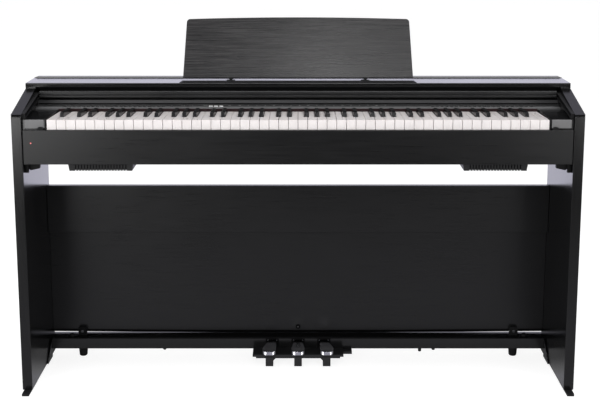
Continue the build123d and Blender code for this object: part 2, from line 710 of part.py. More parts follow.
def cheek_block():
    shoulder = SLIP_TOP_HEIGHT - SLIP_LIP_HEIGHT
    outline = [
        (CHEEK_SETBACK, shoulder),
        (CHEEK_SETBACK, CHEEK_TOP),
        (PANEL_FRONT, CHEEK_TOP),
        (PANEL_FRONT, PANEL_BOTTOM),
        (LEDGE_END, PANEL_BOTTOM),
        (LEDGE_END, KEYBED_TOP),
        (SLIP_THICKNESS, KEYBED_TOP),
        (SLIP_THICKNESS, shoulder),
    ]
    cheek = side_profile(outline, CHEEK_INNER, INNER_X)
    front_edges = cheek.edges().group_by(Axis.Y)[0]
    return chamfer(front_edges.filter_by(Axis.X).group_by(Axis.Z)[-1], EDGE_BREAK)


def slip_pad():
    x0 = CHEEK_INNER + CHEEK_KEY_GAP
    inset = SLIP_LIP_THICKNESS - PAD_THICKNESS
    return block(
        x0, x0 + PAD_WIDTH, inset, inset + PAD_THICKNESS,
        SLIP_TOP_HEIGHT, SLIP_TOP_HEIGHT + PAD_HEIGHT,
    )


# Keys and what they turn on
NOTES = "ABCDEFG"
BLACK_SHIFT = {"C": -0.08, "D": 0.08, "F": -0.12, "G": 0.0, "A": 0.12}
MIDDLE_OCTAVE_START = 23
MIDDLE_OCTAVE_END = MIDDLE_OCTAVE_START + len(NOTES)


def note_of(index):
    return NOTES[index % len(NOTES)]


def has_black_after(index):
    return note_of(index) in BLACK_SHIFT and index < WHITE_COUNT - 1


def black_centre(index):
    return -KEYS_HALF + (index + 1 + BLACK_SHIFT[note_of(index)]) * WHITE_PITCH


def pivot_groove(x0, x1):
    """The half-round notch under a key's tail that sits over the chassis rod."""
    return rod(PIVOT_RADIUS + PIVOT_FIT, x0, x1, PIVOT_Y, KEY_BOTTOM)


def white_key(index):
    left = -KEYS_HALF + index * WHITE_PITCH + KEY_GAP / 2
    right = left + WHITE_PITCH - KEY_GAP
    half_black = BLACK_WIDTH / 2 + KEY_GAP
    head_end = KEY_SETBACK + KEY_HEAD_LENGTH
    head = side_profile(
        [
            (KEY_SETBACK, KEY_BOTTOM),
            (KEY_SETBACK, KEY_TOP_HEIGHT - KEY_NOSE),
            (KEY_SETBACK + KEY_NOSE, key_top_at(KEY_SETBACK + KEY_NOSE)),
            (head_end, key_top_at(head_end)),
            (head_end, KEY_BOTTOM),
        ],
        left,
        right,
    )
    tail_left = left
    tail_right = right
    if index > 0 and has_black_after(index - 1):
        tail_left = black_centre(index - 1) + half_black
    if has_black_after(index):
        tail_right = black_centre(index) - half_black
    tail = side_profile(
        [
            (head_end, KEY_BOTTOM),
            (head_end, key_top_at(head_end)),
            (KEY_END, key_top_at(KEY_END)),
            (KEY_END, KEY_BOTTOM),
        ],
        tail_left,
        tail_right,
    )
    return head + tail - pivot_groove(tail_left, tail_right)


def black_key(index):
    centre = black_centre(index)
    front = KEY_SETBACK + KEY_HEAD_LENGTH + KEY_GAP
    cap_end = KEY_VISIBLE_END - BLACK_TAPER
    crest = front + BLACK_FRONT_LEAN
    sunk = KEY_GAP / 2
    key = side_profile(
        [
            (front, KEY_BOTTOM),
            (front, key_top_at(front) - sunk),
            (crest, key_top_at(crest) + BLACK_RISE),
            (cap_end, key_top_at(cap_end) + BLACK_RISE),
            (cap_end + BLACK_TAPER / 2, key_top_at(cap_end) - sunk),
            (KEY_END, key_top_at(KEY_END) - sunk),
            (KEY_END, KEY_BOTTOM),
        ],
        centre - BLACK_WIDTH / 2,
        centre + BLACK_WIDTH / 2,
    )
    crest_height = key_top_at(cap_end) + BLACK_RISE / 2
    top_edges = key.edges().filter_by(lambda e: e.center().Z > crest_height)
    cap_edges = top_edges.filter_by(lambda e: e.length > BLACK_WIDTH * 2)
    key = chamfer(cap_edges, BLACK_TOP_CHAMFER)
    return key - pivot_groove(centre - BLACK_WIDTH / 2, centre + BLACK_WIDTH / 2)


def key_chassis():
    half = CHEEK_INNER - CHASSIS_END_MARGIN
    plate_top = KEYBED_TOP + CHASSIS_PLATE
    rail = CHASSIS_RAIL_THICKNESS
    ridge_top = KEY_BOTTOM - PIVOT_CLEARANCE
    board_bottom = KEY_BOTTOM - CONTACT_BOARD_DROP
    plate = block(
        -half, half, CHASSIS_FRONT, PIVOT_Y + RIDGE_WIDTH, KEYBED_TOP, plate_top
    )
    guide = block(
        -half, half, CHASSIS_FRONT, CHASSIS_FRONT + rail, plate_top, KEY_BOTTOM - CHASSIS_GUIDE_DROP
    )
    ridge = block(
        -half, half, PIVOT_Y - RIDGE_WIDTH / 2, PIVOT_Y + RIDGE_WIDTH / 2, plate_top, ridge_top
    )
    frame = plate + guide + ridge + rod(PIVOT_RADIUS, -half, half, PIVOT_Y, KEY_BOTTOM)
    for y in (CONTACT_BOARD_START, CONTACT_BOARD_START + CONTACT_BOARD_DEPTH - rail):
        frame += block(-half, half, y, y + rail, plate_top, board_bottom)
    return frame


def contact_board():
    half = CHEEK_INNER - CHASSIS_END_MARGIN * 2
    z0 = KEY_BOTTOM - CONTACT_BOARD_DROP
    return block(
        -half, half, CONTACT_BOARD_START, CONTACT_BOARD_START + CONTACT_BOARD_DEPTH,
        z0, z0 + BOARD_THICKNESS,
    )


def main_board():
    y1 = BACK_PANEL_FRONT - STANDOFF_LENGTH
    z0 = KEYBED_TOP + CHASSIS_PLATE * 2
    x0 = MAIN_BOARD_CENTRE - MAIN_BOARD_WIDTH / 2
    x1 = MAIN_BOARD_CENTRE + MAIN_BOARD_WIDTH / 2
    board = block(x0, x1, y1 - BOARD_THICKNESS, y1, z0, z0 + MAIN_BOARD_HEIGHT)
    inset = STANDOFF_RADIUS * 2
    for x in (x0 + inset, x1 - inset):
        for z in (z0 + inset, z0 + MAIN_BOARD_HEIGHT - inset):
            board += plug_y(STANDOFF_RADIUS, x, y1, BACK_PANEL_FRONT, z)
    return board


# Control panel and what is set in it
def panel_place(x):
    """The middle of the panel's sloping face at a place along the width."""
    y = PANEL_FRONT + PANEL_FACE_DEPTH / 2
    z = PANEL_EDGE + PANEL_FACE_RISE / 2
    return Pos(x, y, z) * Rot(PANEL_SLOPE, 0, 0)


def control_panel():
    wall = PANEL_WALL
    outline = [
        (PANEL_FRONT, PANEL_BOTTOM),
        (PANEL_FRONT, PANEL_EDGE),
        (PANEL_FACE_END, PANEL_FACE_TOP),
        (LEDGE_FRONT, PANEL_FACE_TOP),
        (LEDGE_FRONT, LEDGE_TOP),
        (LEDGE_END, LEDGE_TOP),
        (LEDGE_END, PANEL_BOTTOM),
        (LEDGE_END - wall, PANEL_BOTTOM),
        (LEDGE_END - wall, LEDGE_TOP - wall),
        (LEDGE_FRONT + wall, LEDGE_TOP - wall),
        (LEDGE_FRONT + wall, PANEL_FACE_TOP - wall),
        (PANEL_FACE_END, PANEL_FACE_TOP - wall),
        (PANEL_FRONT + wall * 2, PANEL_BOTTOM),
    ]
    panel = side_profile(outline, -INNER_X, INNER_X)
    deep = PANEL_WALL * 3
    for x, width, _ in button_list():
        hole = Box(width + 2 * BUTTON_CLEARANCE, BUTTON_DEPTH + 2 * BUTTON_CLEARANCE, deep)
        panel -= panel_place(x) * hole
    run = VOLUME_TRAVEL + VOLUME_STEM_WIDTH + 2 * BUTTON_CLEARANCE
    panel -= panel_place(VOLUME_X) * Box(run, VOLUME_SLOT_DEPTH, deep)
    slot = Box(SPEAKER_SLOT_PITCH - SPEAKER_SLOT_RIB, SPEAKER_SLOT_DEPTH, deep)
    slots = []
    for i in range(SPEAKER_SLOT_COUNT):
        x = SPEAKER_SLOT_INNER + (i + 0.5) * SPEAKER_SLOT_PITCH
        slots.append(panel_place(x) * slot)
        slots.append(panel_place(-x) * slot)
    return panel - slots


def button_list():
    return [
        (FUNCTION_BUTTON_X, BUTTON_WIDTH, "function_button"),
        (TONE_BUTTON_X, BUTTON_WIDTH, "tone_button"),
        (METRONOME_BUTTON_X, BUTTON_WIDTH, "metronome_button"),
        (POWER_BUTTON_X, POWER_BUTTON_WIDTH, "power_button"),
    ]


def panel_button(x, width):
    stem = PANEL_WALL * 2 + BUTTON_PROUD
    foot = (Align.CENTER, Align.CENTER, Align.MAX)
    cap = Pos(0, 0, BUTTON_PROUD) * Box(width, BUTTON_DEPTH, stem, align=foot)
    return panel_place(x) * cap


def volume_slider():
    foot = (Align.CENTER, Align.CENTER, Align.MIN)
    gap = BUTTON_CLEARANCE
    cap = Pos(0, 0, gap) * Box(VOLUME_CAP_WIDTH, BUTTON_DEPTH, VOLUME_CAP_HEIGHT, align=foot)
    stem_depth = VOLUME_SLOT_DEPTH - 2 * BUTTON_CLEARANCE
    top = (Align.CENTER, Align.CENTER, Align.MAX)
    stem = Pos(0, 0, gap) * Box(VOLUME_STEM_WIDTH, stem_depth, PANEL_WALL * 2, align=top)
    return panel_place(VOLUME_X) * (cap + stem)


def key_felt():
    return block(
        -KEYS_HALF, KEYS_HALF, PANEL_FRONT, PANEL_FRONT + FELT_THICKNESS,
        key_top_at(PANEL_FRONT) + FELT_KEY_CLEARANCE, PANEL_BOTTOM,
    )


# Sliding key cover
def roller():
    x0 = INNER_X - GUIDE_WEB - ROLLER_SIDE_CLEARANCE - ROLLER_LENGTH
    wheel = rod(ROLLER_RADIUS, x0, x0 + ROLLER_LENGTH, ROLLER_Y, ROLLER_Z)
    pin = rod(ROLLER_PIN_RADIUS, x0 - ROLLER_PIN_LENGTH, x0, ROLLER_Y, ROLLER_Z)
    return wheel + pin


def guide_channel():
    run = COVER_TRAVEL / math.cos(math.radians(COVER_SLOPE))
    inner = ROLLER_RADIUS + ROLLER_CLEARANCE
    outer = inner + GUIDE_WALL
    corner = (Align.MIN, Align.MAX, Align.CENTER)
    length = run + 2 * GUIDE_END
    channel = Box(GUIDE_REACH, length, 2 * outer, align=corner)
    groove = Box(GUIDE_REACH - GUIDE_WEB, length - GUIDE_WALL, 2 * inner, align=corner)
    channel -= Pos(0, -GUIDE_WALL / 2, 0) * groove
    placed = Pos(INNER_X - GUIDE_REACH, ROLLER_Y, ROLLER_Z) * Rot(COVER_SLOPE, 0, 0)
    return placed * Pos(0, GUIDE_END, 0) * channel


def cover_front_leaf():
    leaf_bottom = RAIL_TOP - LEAF_THICKNESS
    rail_end = LID_FRONT + RAIL_THICKNESS
    grip_low = RAIL_BOTTOM + (RAIL_HEIGHT - RAIL_GRIP_HEIGHT) / 2
    grip_high = grip_low + RAIL_GRIP_HEIGHT
    grip = LID_FRONT + RAIL_GRIP_DEPTH
    outline = [
        (LID_FRONT, RAIL_BOTTOM),
        (LID_FRONT, grip_low),
        (grip, grip_low),
        (grip, grip_high),
        (LID_FRONT, grip_high),
        (LID_FRONT, RAIL_TOP),
        (LEAF_END, RAIL_TOP),
        (LEAF_END, leaf_bottom),
        (rail_end, leaf_bottom),
        (rail_end, RAIL_BOTTOM),
    ]
    leaf = side_profile(outline, -LEAF_HALF, LEAF_HALF)
    boss_size = ROLLER_PIN_RADIUS * 2 + LEAF_THICKNESS
    boss_reach = ROLLER_PIN_LENGTH + LEAF_THICKNESS
    bore = ROLLER_PIN_RADIUS + ROLLER_PIN_CLEARANCE
    boss = block(
        LEAF_HALF - boss_reach, LEAF_HALF, rail_end, ROLLER_Y + boss_size / 2,
        ROLLER_Z - boss_size / 2, leaf_bottom,
    )
    leaf = leaf + both_sides(boss)
    hole = rod(bore, LEAF_HALF - boss_reach, LEAF_HALF, ROLLER_Y, ROLLER_Z)
    return leaf - both_sides(hole)


def cover_rear_leaf():
    z0 = RAIL_TOP + LEAF_STACK_GAP
    return block(
        -LEAF_HALF, LEAF_HALF, LID_FRONT + RAIL_THICKNESS, LEAF_END, z0, z0 + LEAF_THICKNESS
    )


# Music rest
def music_rest_board():
    half_top = REST_TOP_WIDTH / 2
    half_bottom = REST_BOTTOM_WIDTH / 2
    shoulder = REST_LENGTH - REST_CROWN
    sides = Polyline(
        (-half_top, shoulder), (-half_bottom, 0), (half_bottom, 0), (half_top, shoulder)
    )
    crown = ThreePointArc((half_top, shoulder), (0, REST_LENGTH), (-half_top, shoulder))
    outline = make_face(sides + crown)
    upper = outline.vertices().group_by(Axis.Y)[-1]
    outline = fillet(upper, REST_CORNER)
    board = extrude(Plane.XZ * outline, amount=REST_THICKNESS, dir=(0, 1, 0))
    return rest_place() * board


def music_rest_peg(x):
    lean = math.cos(math.radians(REST_TILT))
    drop = (REST_LID_GAP - SOCKET_THICKNESS) / lean - PEG_CLEARANCE
    drop -= REST_THICKNESS * math.tan(math.radians(REST_TILT))
    top = PEG_TOP_WIDTH / 2
    bottom = PEG_BOTTOM_WIDTH / 2
    wedge = Polygon((x - top, 0), (x - bottom, -drop), (x + bottom, -drop), (x + top, 0), align=None)
    body = extrude(Plane.XZ * wedge, amount=REST_THICKNESS, dir=(0, 1, 0))
    return rest_place() * body + peg_pin(x, PEG_PIN_RADIUS)


def peg_socket(x):
    half = SOCKET_WIDTH / 2
    middle = REST_SETBACK + REST_THICKNESS / 2
    plate = block(
        x - half, x + half, middle - half / 2, middle + half / 2,
        LID_TOP_HEIGHT, LID_TOP_HEIGHT + SOCKET_THICKNESS,
    )
    return plate - peg_pin(x, PEG_PIN_RADIUS + PEG_CLEARANCE)


def music_mat():
    front = LID_FRONT + MAT_FRONT_INSET
    half = MAT_HALF_LENGTH
    outline = [
        (-half, front),
        (half, front),
        (half - MAT_END_SLANT, front + MAT_DEPTH),
        (-half + MAT_END_SLANT, front + MAT_DEPTH),
    ]
    return flat_profile(outline, LID_TOP_HEIGHT, LID_TOP_HEIGHT + MAT_THICKNESS)


# Speakers
def speaker_box():
    x0 = SPEAKER_BOX_INNER
    x1 = x0 + SPEAKER_BOX_WIDTH
    y0 = SPEAKER_BOX_FRONT
    y1 = y0 + SPEAKER_BOX_DEPTH
    z0 = KEYBED_BOTTOM - SPEAKER_BOX_HEIGHT
    foot = z0 - GRILLE_RIB_HEIGHT
    wall = SPEAKER_WALL
    draft = SPEAKER_BOX_DRAFT
    outline = [
        (x0, foot), (x1, foot), (x1 + draft, KEYBED_BOTTOM), (x0 - draft, KEYBED_BOTTOM),
    ]
    box = front_profile(outline, y0, y1)
    box -= block(x0 + wall, x1 - wall, y0 + wall, y1 - wall, z0 + wall, KEYBED_BOTTOM)
    box -= post(DRIVER_HOLE_RADIUS, (x0 + x1) / 2, (y0 + y1) / 2, z0, z0 + wall)
    pitch = (SPEAKER_BOX_WIDTH - 2 * GRILLE_END) / GRILLE_SLOT_COUNT
    gaps = []
    for i in range(GRILLE_SLOT_COUNT):
        x = x0 + GRILLE_END + (i + 0.5) * pitch - GRILLE_SLOT_WIDTH / 2
        gaps.append(block(x, x + GRILLE_SLOT_WIDTH, y0, y1, foot, z0))
        gaps.append(block(x, x + GRILLE_SLOT_WIDTH, y0, y0 + GRILLE_GROOVE, z0, KEYBED_BOTTOM))
    return box - gaps


def speaker_driver():
    x = SPEAKER_BOX_INNER + SPEAKER_BOX_WIDTH / 2
    y = SPEAKER_BOX_FRONT + SPEAKER_BOX_DEPTH / 2
    z0 = KEYBED_BOTTOM - SPEAKER_BOX_HEIGHT + SPEAKER_WALL
    basket = Pos(x, y, z0 + DRIVER_RIM) * Cone(
        DRIVER_HOLE_RADIUS,
        DRIVER_MAGNET_RADIUS,
        DRIVER_DEPTH - 2 * DRIVER_RIM,
        align=(Align.CENTER, Align.CENTER, Align.MIN),
    )
    rim = post(DRIVER_RADIUS, x, y, z0, z0 + DRIVER_RIM)
    magnet = post(
        DRIVER_MAGNET_RADIUS, x, y, z0 + DRIVER_DEPTH - DRIVER_RIM, z0 + DRIVER_DEPTH + DRIVER_RIM
    )
    cone = Pos(x, y, z0) * Cone(
        DRIVER_HOLE_RADIUS - DRIVER_RIM,
        DRIVER_MAGNET_RADIUS / 2,
        DRIVER_DEPTH / 2,
        align=(Align.CENTER, Align.CENTER, Align.MIN),
    )
    return basket + rim + magnet - cone


# Screws, knobs, caps and the pedal rod
def fasteners():
    found = []
    y1 = BACK_PANEL_FRONT + BACK_PANEL_THICKNESS
    head = SCREW_HEAD_HEIGHT
    run = 2 * (INNER_X - BACK_SCREW_MARGIN)
    margin = BACK_PANEL_THICKNESS
    for i in range(BACK_SCREW_COUNT):
        x = -run / 2 + i * run / (BACK_SCREW_COUNT - 1)
        for z in (LID_BOTTOM - margin, LID_BOTTOM - BACK_PANEL_DROP + margin / 2):
            found.append(plug_y(SCREW_HEAD_RADIUS, x, y1, y1 + head, z))
    front = LOWER_BOARD_FRONT
    low = LOWER_BOARD_BOTTOM + BOARD_SCREW_RISE
    found.append(plug_y(BOARD_SCREW_RADIUS, 0, front - head, front, low))
    clamp = LOWER_BOARD_FRONT - CLAMP_DEPTH
    clamp_z = BAR_TOP_HEIGHT + CLAMP_HEIGHT / 2
    found += both_sides(plug_y(SCREW_HEAD_RADIUS, CLAMP_X, clamp - head, clamp, clamp_z))
    found += both_sides(
        post(CAP_RADIUS, CAP_X, BAR_SETBACK + CAP_SETBACK, BAR_TOP_HEIGHT, BAR_TOP_HEIGHT + CAP_HEIGHT)
    )
    knob_x = INNER_X - BRACKET_WIDTH + KNOB_RADIUS + EDGE_BREAK
    knob_y = SLIP_THICKNESS + BRACKET_START + BRACKET_DEPTH / 2
    knob_top = KEYBED_BOTTOM - BRACKET_END_HEIGHT
    found += both_sides(post(KNOB_RADIUS, knob_x, knob_y, knob_top - KNOB_HEIGHT, knob_top))
    found.append(pedal_rod())
    return found


def key_nodes():
    """Single keys of the middle octave, and the outer keys gathered by name."""
    nodes = {}
    for index in range(WHITE_COUNT):
        note = note_of(index).lower()
        middle = MIDDLE_OCTAVE_START <= index < MIDDLE_OCTAVE_END
        name = f"key_{note}4" if middle else f"outer_{note}_keys"
        nodes.setdefault(name, []).append(white_key(index))
        if has_black_after(index):
            group = "outer_black_pairs" if note in "cd" else "outer_black_threes"
            name = f"key_{note}_sharp_4" if middle else group
            nodes.setdefault(name, []).append(black_key(index))
    return nodes


def main():
    os.makedirs("parts", exist_ok=True)
    save("side_panel_right", side_panel())
    save("side_panel_left", mirror(side_panel(), about=Plane.YZ))
    save("stand_feet", *shoes(), *bar_feet())
    brackets = (keybed_bracket(), floor_gusset(), board_clamp())
    save("stand_brackets", *[one for shape in brackets for one in both_sides(shape)])
    save("back_board_upper", upper_back_board())
    save("back_board_lower", lower_back_board())
    save("bottom_bar", bottom_bar())
    save("pedal_box", pedal_box())
    for x, name in zip(pedal_places(), ("left", "middle", "right")):
        save(f"pedal_{name}", pedal(x))
    save("top_lid", top_lid())
    save("back_panel", back_panel())
    save("jack_panel", jack_panel())
    save("keybed", keybed())
    save("key_slip", key_slip())
    save("power_lamp", power_lamp())
    save("cheek_blocks", *both_sides(cheek_block()))
    save("slip_pads", *both_sides(slip_pad()))
    for name, keys in key_nodes().items():
        save(name, *keys)
    save("key_chassis", key_chassis())
    save("circuit_boards", contact_board(), main_board())
    save("key_felt", key_felt())
    save("control_panel", control_panel())
    for x, width, name in button_list():
        save(name, panel_button(x, width))
    save("volume_slider", volume_slider())
    save("cover_guides", *both_sides(guide_channel()))
    save("cover_rollers", *both_sides(roller()))
    save("cover_front_leaf", cover_front_leaf())
    save("cover_rear_leaf", cover_rear_leaf())
    save("music_rest_board", music_rest_board())
    peg_xs = (-PEG_SPACING / 2, PEG_SPACING / 2)
    save("music_rest_pegs", *[music_rest_peg(x) for x in peg_xs])
    save("peg_sockets", *[peg_socket(x) for x in peg_xs])
    save("music_mat", music_mat())
    save("speaker_boxes", *both_sides(speaker_box()))
    save("speaker_drivers", *both_sides(speaker_driver()))
    save("fasteners", *fasteners())


main()
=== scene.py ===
import math

import bmesh
import bpy
from mathutils import Matrix, Vector


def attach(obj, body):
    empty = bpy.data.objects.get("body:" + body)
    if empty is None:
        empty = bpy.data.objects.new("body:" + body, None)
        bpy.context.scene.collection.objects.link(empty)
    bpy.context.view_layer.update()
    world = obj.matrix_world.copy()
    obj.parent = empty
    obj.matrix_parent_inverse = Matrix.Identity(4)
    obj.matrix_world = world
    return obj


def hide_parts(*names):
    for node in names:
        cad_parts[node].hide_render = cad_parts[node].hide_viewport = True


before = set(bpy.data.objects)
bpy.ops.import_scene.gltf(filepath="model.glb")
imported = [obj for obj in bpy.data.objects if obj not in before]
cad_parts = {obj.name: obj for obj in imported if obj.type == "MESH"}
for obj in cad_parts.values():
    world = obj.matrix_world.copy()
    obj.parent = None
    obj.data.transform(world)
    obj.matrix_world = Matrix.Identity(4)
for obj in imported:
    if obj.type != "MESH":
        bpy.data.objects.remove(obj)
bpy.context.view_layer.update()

scene = bpy.context.scene
CASE = "stand_and_case"
SIDES = (-1, 1)

# Sizes are in millimetres, and depths are counted backwards from the side panels' front faces.
MM = 0.001
FRONT_FACE_Y = -0.1225
HALF_WIDTH = 695.5
INNER_FACE = 670.5
PANEL_DEPTH = 272.0
ARM_CORNER = 711.0
SHOE_HEIGHT = 6.0
LID_FRONT = 158.0
LID_BOTTOM = 752.0
LID_TOP = 766.0
BOARD_JOINT = 256.0
BOARD_FOOT = 61.5
LEDGE_START = 182.5
KNOB_X = 648.0
KNOB_DEPTH = 46.0


def place(x, depth, height):
    """A point of the shared frame, in metres."""
    return Vector((x * MM, FRONT_FACE_Y + depth * MM, height * MM))


def depth_of(vert):
    return (vert.co.y - FRONT_FACE_Y) / MM


def height_of(vert):
    return vert.co.z / MM


# Shader building blocks
class ShaderNodes:
    """The nodes of one shader, and the steps that every shader here is made of."""

    def __init__(self, tree):
        self.nodes = tree.nodes
        self.links = tree.links

    def span(self, value, low, high, start=0.3, end=0.7):
        """Stretches a value that runs from start to end so that it runs from low to high."""
        node = self.nodes.new("ShaderNodeMapRange")
        node.inputs["From Min"].default_value = start
        node.inputs["From Max"].default_value = end
        node.inputs["To Min"].default_value = low
        node.inputs["To Max"].default_value = high
        self.links.new(value, node.inputs["Value"])
        return node.outputs["Result"]

    def join(self, a, b, mode="ADD"):
        node = self.nodes.new("ShaderNodeMath")
        node.operation = mode
        self.links.new(a, node.inputs[0])
        if isinstance(b, float):
            node.inputs[1].default_value = b
        else:
            self.links.new(b, node.inputs[1])
        return node.outputs["Value"]

    def axes(self, point):
        """The X, Y and Z of a point."""
        node = self.nodes.new("ShaderNodeSeparateXYZ")
        self.links.new(point, node.inputs["Vector"])
        return node.outputs

    def mix(self, share, first, second):
        """Goes from the first shader to the second as share goes from 0 to 1."""
        node = self.nodes.new("ShaderNodeMixShader")
        self.links.new(share, node.inputs["Fac"])
        self.links.new(first, node.inputs[1])
        self.links.new(second, node.inputs[2])
        return node.outputs["Shader"]


class Finish(ShaderNodes):
    """One surface finish: its material, and the nodes that give it grain, tone and relief."""

    def __init__(self, name):
        self.material = bpy.data.materials.new(name)
        self.material.use_nodes = True
        super().__init__(self.material.node_tree)
        self.shader = self.nodes["Principled BSDF"]
        self.coords = self.nodes.new("ShaderNodeTexCoord").outputs["Object"]

    def set(self, **sockets):
        for name, value in sockets.items():
            self.shader.inputs[name.replace("_", " ")].default_value = value

    def stretched(self, texture, scale, stretch):
        """Gives a texture its scale and its stretch along the three axes."""
        mapping = self.nodes.new("ShaderNodeMapping")
        mapping.inputs["Scale"].default_value = stretch
        texture.inputs["Scale"].default_value = scale
        self.links.new(self.coords, mapping.inputs["Vector"])
        self.links.new(mapping.outputs["Vector"], texture.inputs["Vector"])

    def noise(self, scale, stretch=(1.0, 1.0, 1.0), detail=4.0, roughness=0.55):
        texture = self.nodes.new("ShaderNodeTexNoise")
        texture.inputs["Detail"].default_value = detail
        texture.inputs["Roughness"].default_value = roughness
        self.stretched(texture, scale, stretch)
        return texture.outputs["Fac"]

    def cells(self, scale, stretch=(1.0, 1.0, 1.0)):
        texture = self.nodes.new("ShaderNodeTexVoronoi")
        self.stretched(texture, scale, stretch)
        return texture.outputs["Distance"]

    def tones(self, value, *stops):
        """A colour ramp; each stop is a place from 0 to 1 and a colour."""
        node = self.nodes.new("ShaderNodeValToRGB")
        ramp = node.color_ramp
        while len(ramp.elements) < len(stops):
            ramp.elements.new(0.5)
        for element, (where, colour) in zip(ramp.elements, stops):
            element.position = where
            element.color = (*colour, 1.0)
        self.links.new(value, node.inputs["Fac"])
        return node.outputs["Color"]

    def two_tone(self, value, dark, light, start=0.3, end=0.7):
        """A colour that goes from dark to light with a value."""
        return self.tones(self.span(value, 0.0, 1.0, start, end), (0.0, dark), (1.0, light))

    def over(self, colour, top, share):
        """Lays one colour over another where share is high."""
        node = self.nodes.new("ShaderNodeMix")
        node.data_type = "RGBA"
        self.links.new(share, node.inputs["Factor"])
        self.links.new(colour, node.inputs["A"])
        node.inputs["B"].default_value = (*top, 1.0)
        return node.outputs["Result"]

    def rubbed(self, colour, top, share):
        """Lays a paler colour over the sharp outer edges."""
        shape = self.nodes.new("ShaderNodeNewGeometry")
        edge = self.span(shape.outputs["Pointiness"], 0.0, share, 0.52, 0.6)
        return self.over(colour, top, edge)

    def relief(self, value, strength, depth, under=None):
        node = self.nodes.new("ShaderNodeBump")
        node.inputs["Strength"].default_value = strength
        node.inputs["Distance"].default_value = depth
        self.links.new(value, node.inputs["Height"])
        if under is not None:
            self.links.new(under, node.inputs["Normal"])
        return node.outputs["Normal"]

    def wire(self, **sockets):
        for name, output in sockets.items():
            self.links.new(output, self.shader.inputs[name.replace("_", " ")])
        return self.material


def black_board_finish(
    name, along, dark, light, rough, grain, figure=(0.3, 0.7), fineness=320.0, reach=0.03
):
    """Satin black laminate with a fine pressed wood grain running along one axis."""
    f = Finish(name)
    stretch = [1.0, 1.0, 1.0]
    stretch["XYZ".index(along)] = reach
    streaks = f.noise(fineness, stretch, 5.0, 0.65)
    pores = f.noise(1100.0, stretch, 2.0, 0.5)
    cloud = f.noise(3.0, detail=3.0)
    tone = f.two_tone(streaks, dark, light, *figure)
    tone = f.rubbed(tone, [c * 2.0 + 0.006 for c in light], 0.5)
    surface = f.join(f.span(cloud, 0.0, 0.06), f.span(streaks, *rough))
    relief = f.relief(streaks, grain, 0.0004)
    relief = f.relief(pores, grain * 0.6, 0.0002, relief)
    return f.wire(Base_Color=tone, Roughness=surface, Normal=relief)


def moulded_plastic(name, dark, light, rough=(0.42, 0.55), texture=0.12, shine=0.5):
    """Moulded plastic with a fine spark-eroded texture and paler rubbed edges."""
    f = Finish(name)
    f.set(Specular_IOR_Level=shine)
    speck = f.noise(1800.0, detail=2.0)
    cloud = f.noise(9.0, detail=3.0)
    tone = f.two_tone(cloud, dark, light)
    tone = f.rubbed(tone, [c * 1.8 + 0.006 for c in light], 0.35)
    surface = f.join(f.span(cloud, 0.0, 0.05), f.span(speck, *rough))
    return f.wire(Base_Color=tone, Roughness=surface, Normal=f.relief(speck, texture, 0.0002))


def panel_finish():
    """Moulded plastic of the control panel, painted paler on its sloping face than on the ledge
    behind: painted light that makes up for the shade of the lid.
    """
    f = Finish("panel_plastic")
    speck = f.noise(1800.0, detail=2.0)
    cloud = f.noise(9.0, detail=3.0)
    tone = f.two_tone(cloud, (0.115, 0.115, 0.118), (0.135, 0.135, 0.138))
    ledge_start = FRONT_FACE_Y + LEDGE_START * MM
    # Painted light: the sloping face gets a paler tone than the ledge behind it.
    painted_light_split = f.span(f.axes(f.coords)["Y"], 0.0, 1.0, ledge_start, ledge_start + 0.5 * MM)
    tone = f.over(tone, (0.072, 0.072, 0.075), painted_light_split)
    surface = f.join(f.span(cloud, 0.0, 0.05), f.span(speck, 0.4, 0.5))
    return f.wire(Base_Color=tone, Roughness=surface, Normal=f.relief(speck, 0.12, 0.0002))


def white_key_finish():
    f = Finish("white_key_plastic")
    cloud = f.noise(26.0, (1.0, 0.25, 1.0), 3.0)
    fine = f.noise(2400.0, detail=2.0)
    tone = f.two_tone(cloud, (0.69, 0.65, 0.645), (0.74, 0.7, 0.695))
    surface = f.span(cloud, 0.26, 0.36)
    f.set(Subsurface_Weight=0.04, Subsurface_Radius=(0.004, 0.0035, 0.003))
    f.set(Coat_Weight=0.15, Coat_Roughness=0.2)
    return f.wire(Base_Color=tone, Roughness=surface, Normal=f.relief(fine, 0.03, 0.0001))


def black_key_finish():
    f = Finish("black_key_plastic")
    f.set(Specular_IOR_Level=0.27)
    streaks = f.noise(900.0, (1.0, 0.08, 1.0), 3.0)
    cloud = f.noise(30.0, detail=3.0)
    tone = f.two_tone(cloud, (0.003, 0.003, 0.0033), (0.006, 0.006, 0.0064))
    tone = f.rubbed(tone, (0.03, 0.03, 0.03), 0.3)
    surface = f.span(streaks, 0.2, 0.28)
    return f.wire(Base_Color=tone, Roughness=surface, Normal=f.relief(streaks, 0.08, 0.0002))


def pedal_chrome():
    f = Finish("pedal_chrome")
    f.set(Metallic=1.0)
    smear = f.noise(60.0, detail=4.0)
    scratch = f.noise(700.0, (1.0, 0.06, 1.0), 2.0)
    tone = f.two_tone(smear, (0.60, 0.60, 0.62), (0.72, 0.72, 0.74))
    surface = f.join(f.span(smear, 0.12, 0.19), f.span(scratch, 0.0, 0.05))
    return f.wire(Base_Color=tone, Roughness=surface, Normal=f.relief(scratch, 0.02, 0.0001))


def steel_finish(name, dark, light, rough):
    f = Finish(name)
    f.set(Metallic=1.0)
    lathe_marks = f.noise(900.0, detail=3.0)
    tone = f.two_tone(lathe_marks, dark, light)
    relief = f.relief(lathe_marks, 0.08, 0.0002)
    return f.wire(Base_Color=tone, Roughness=f.span(lathe_marks, *rough), Normal=relief)


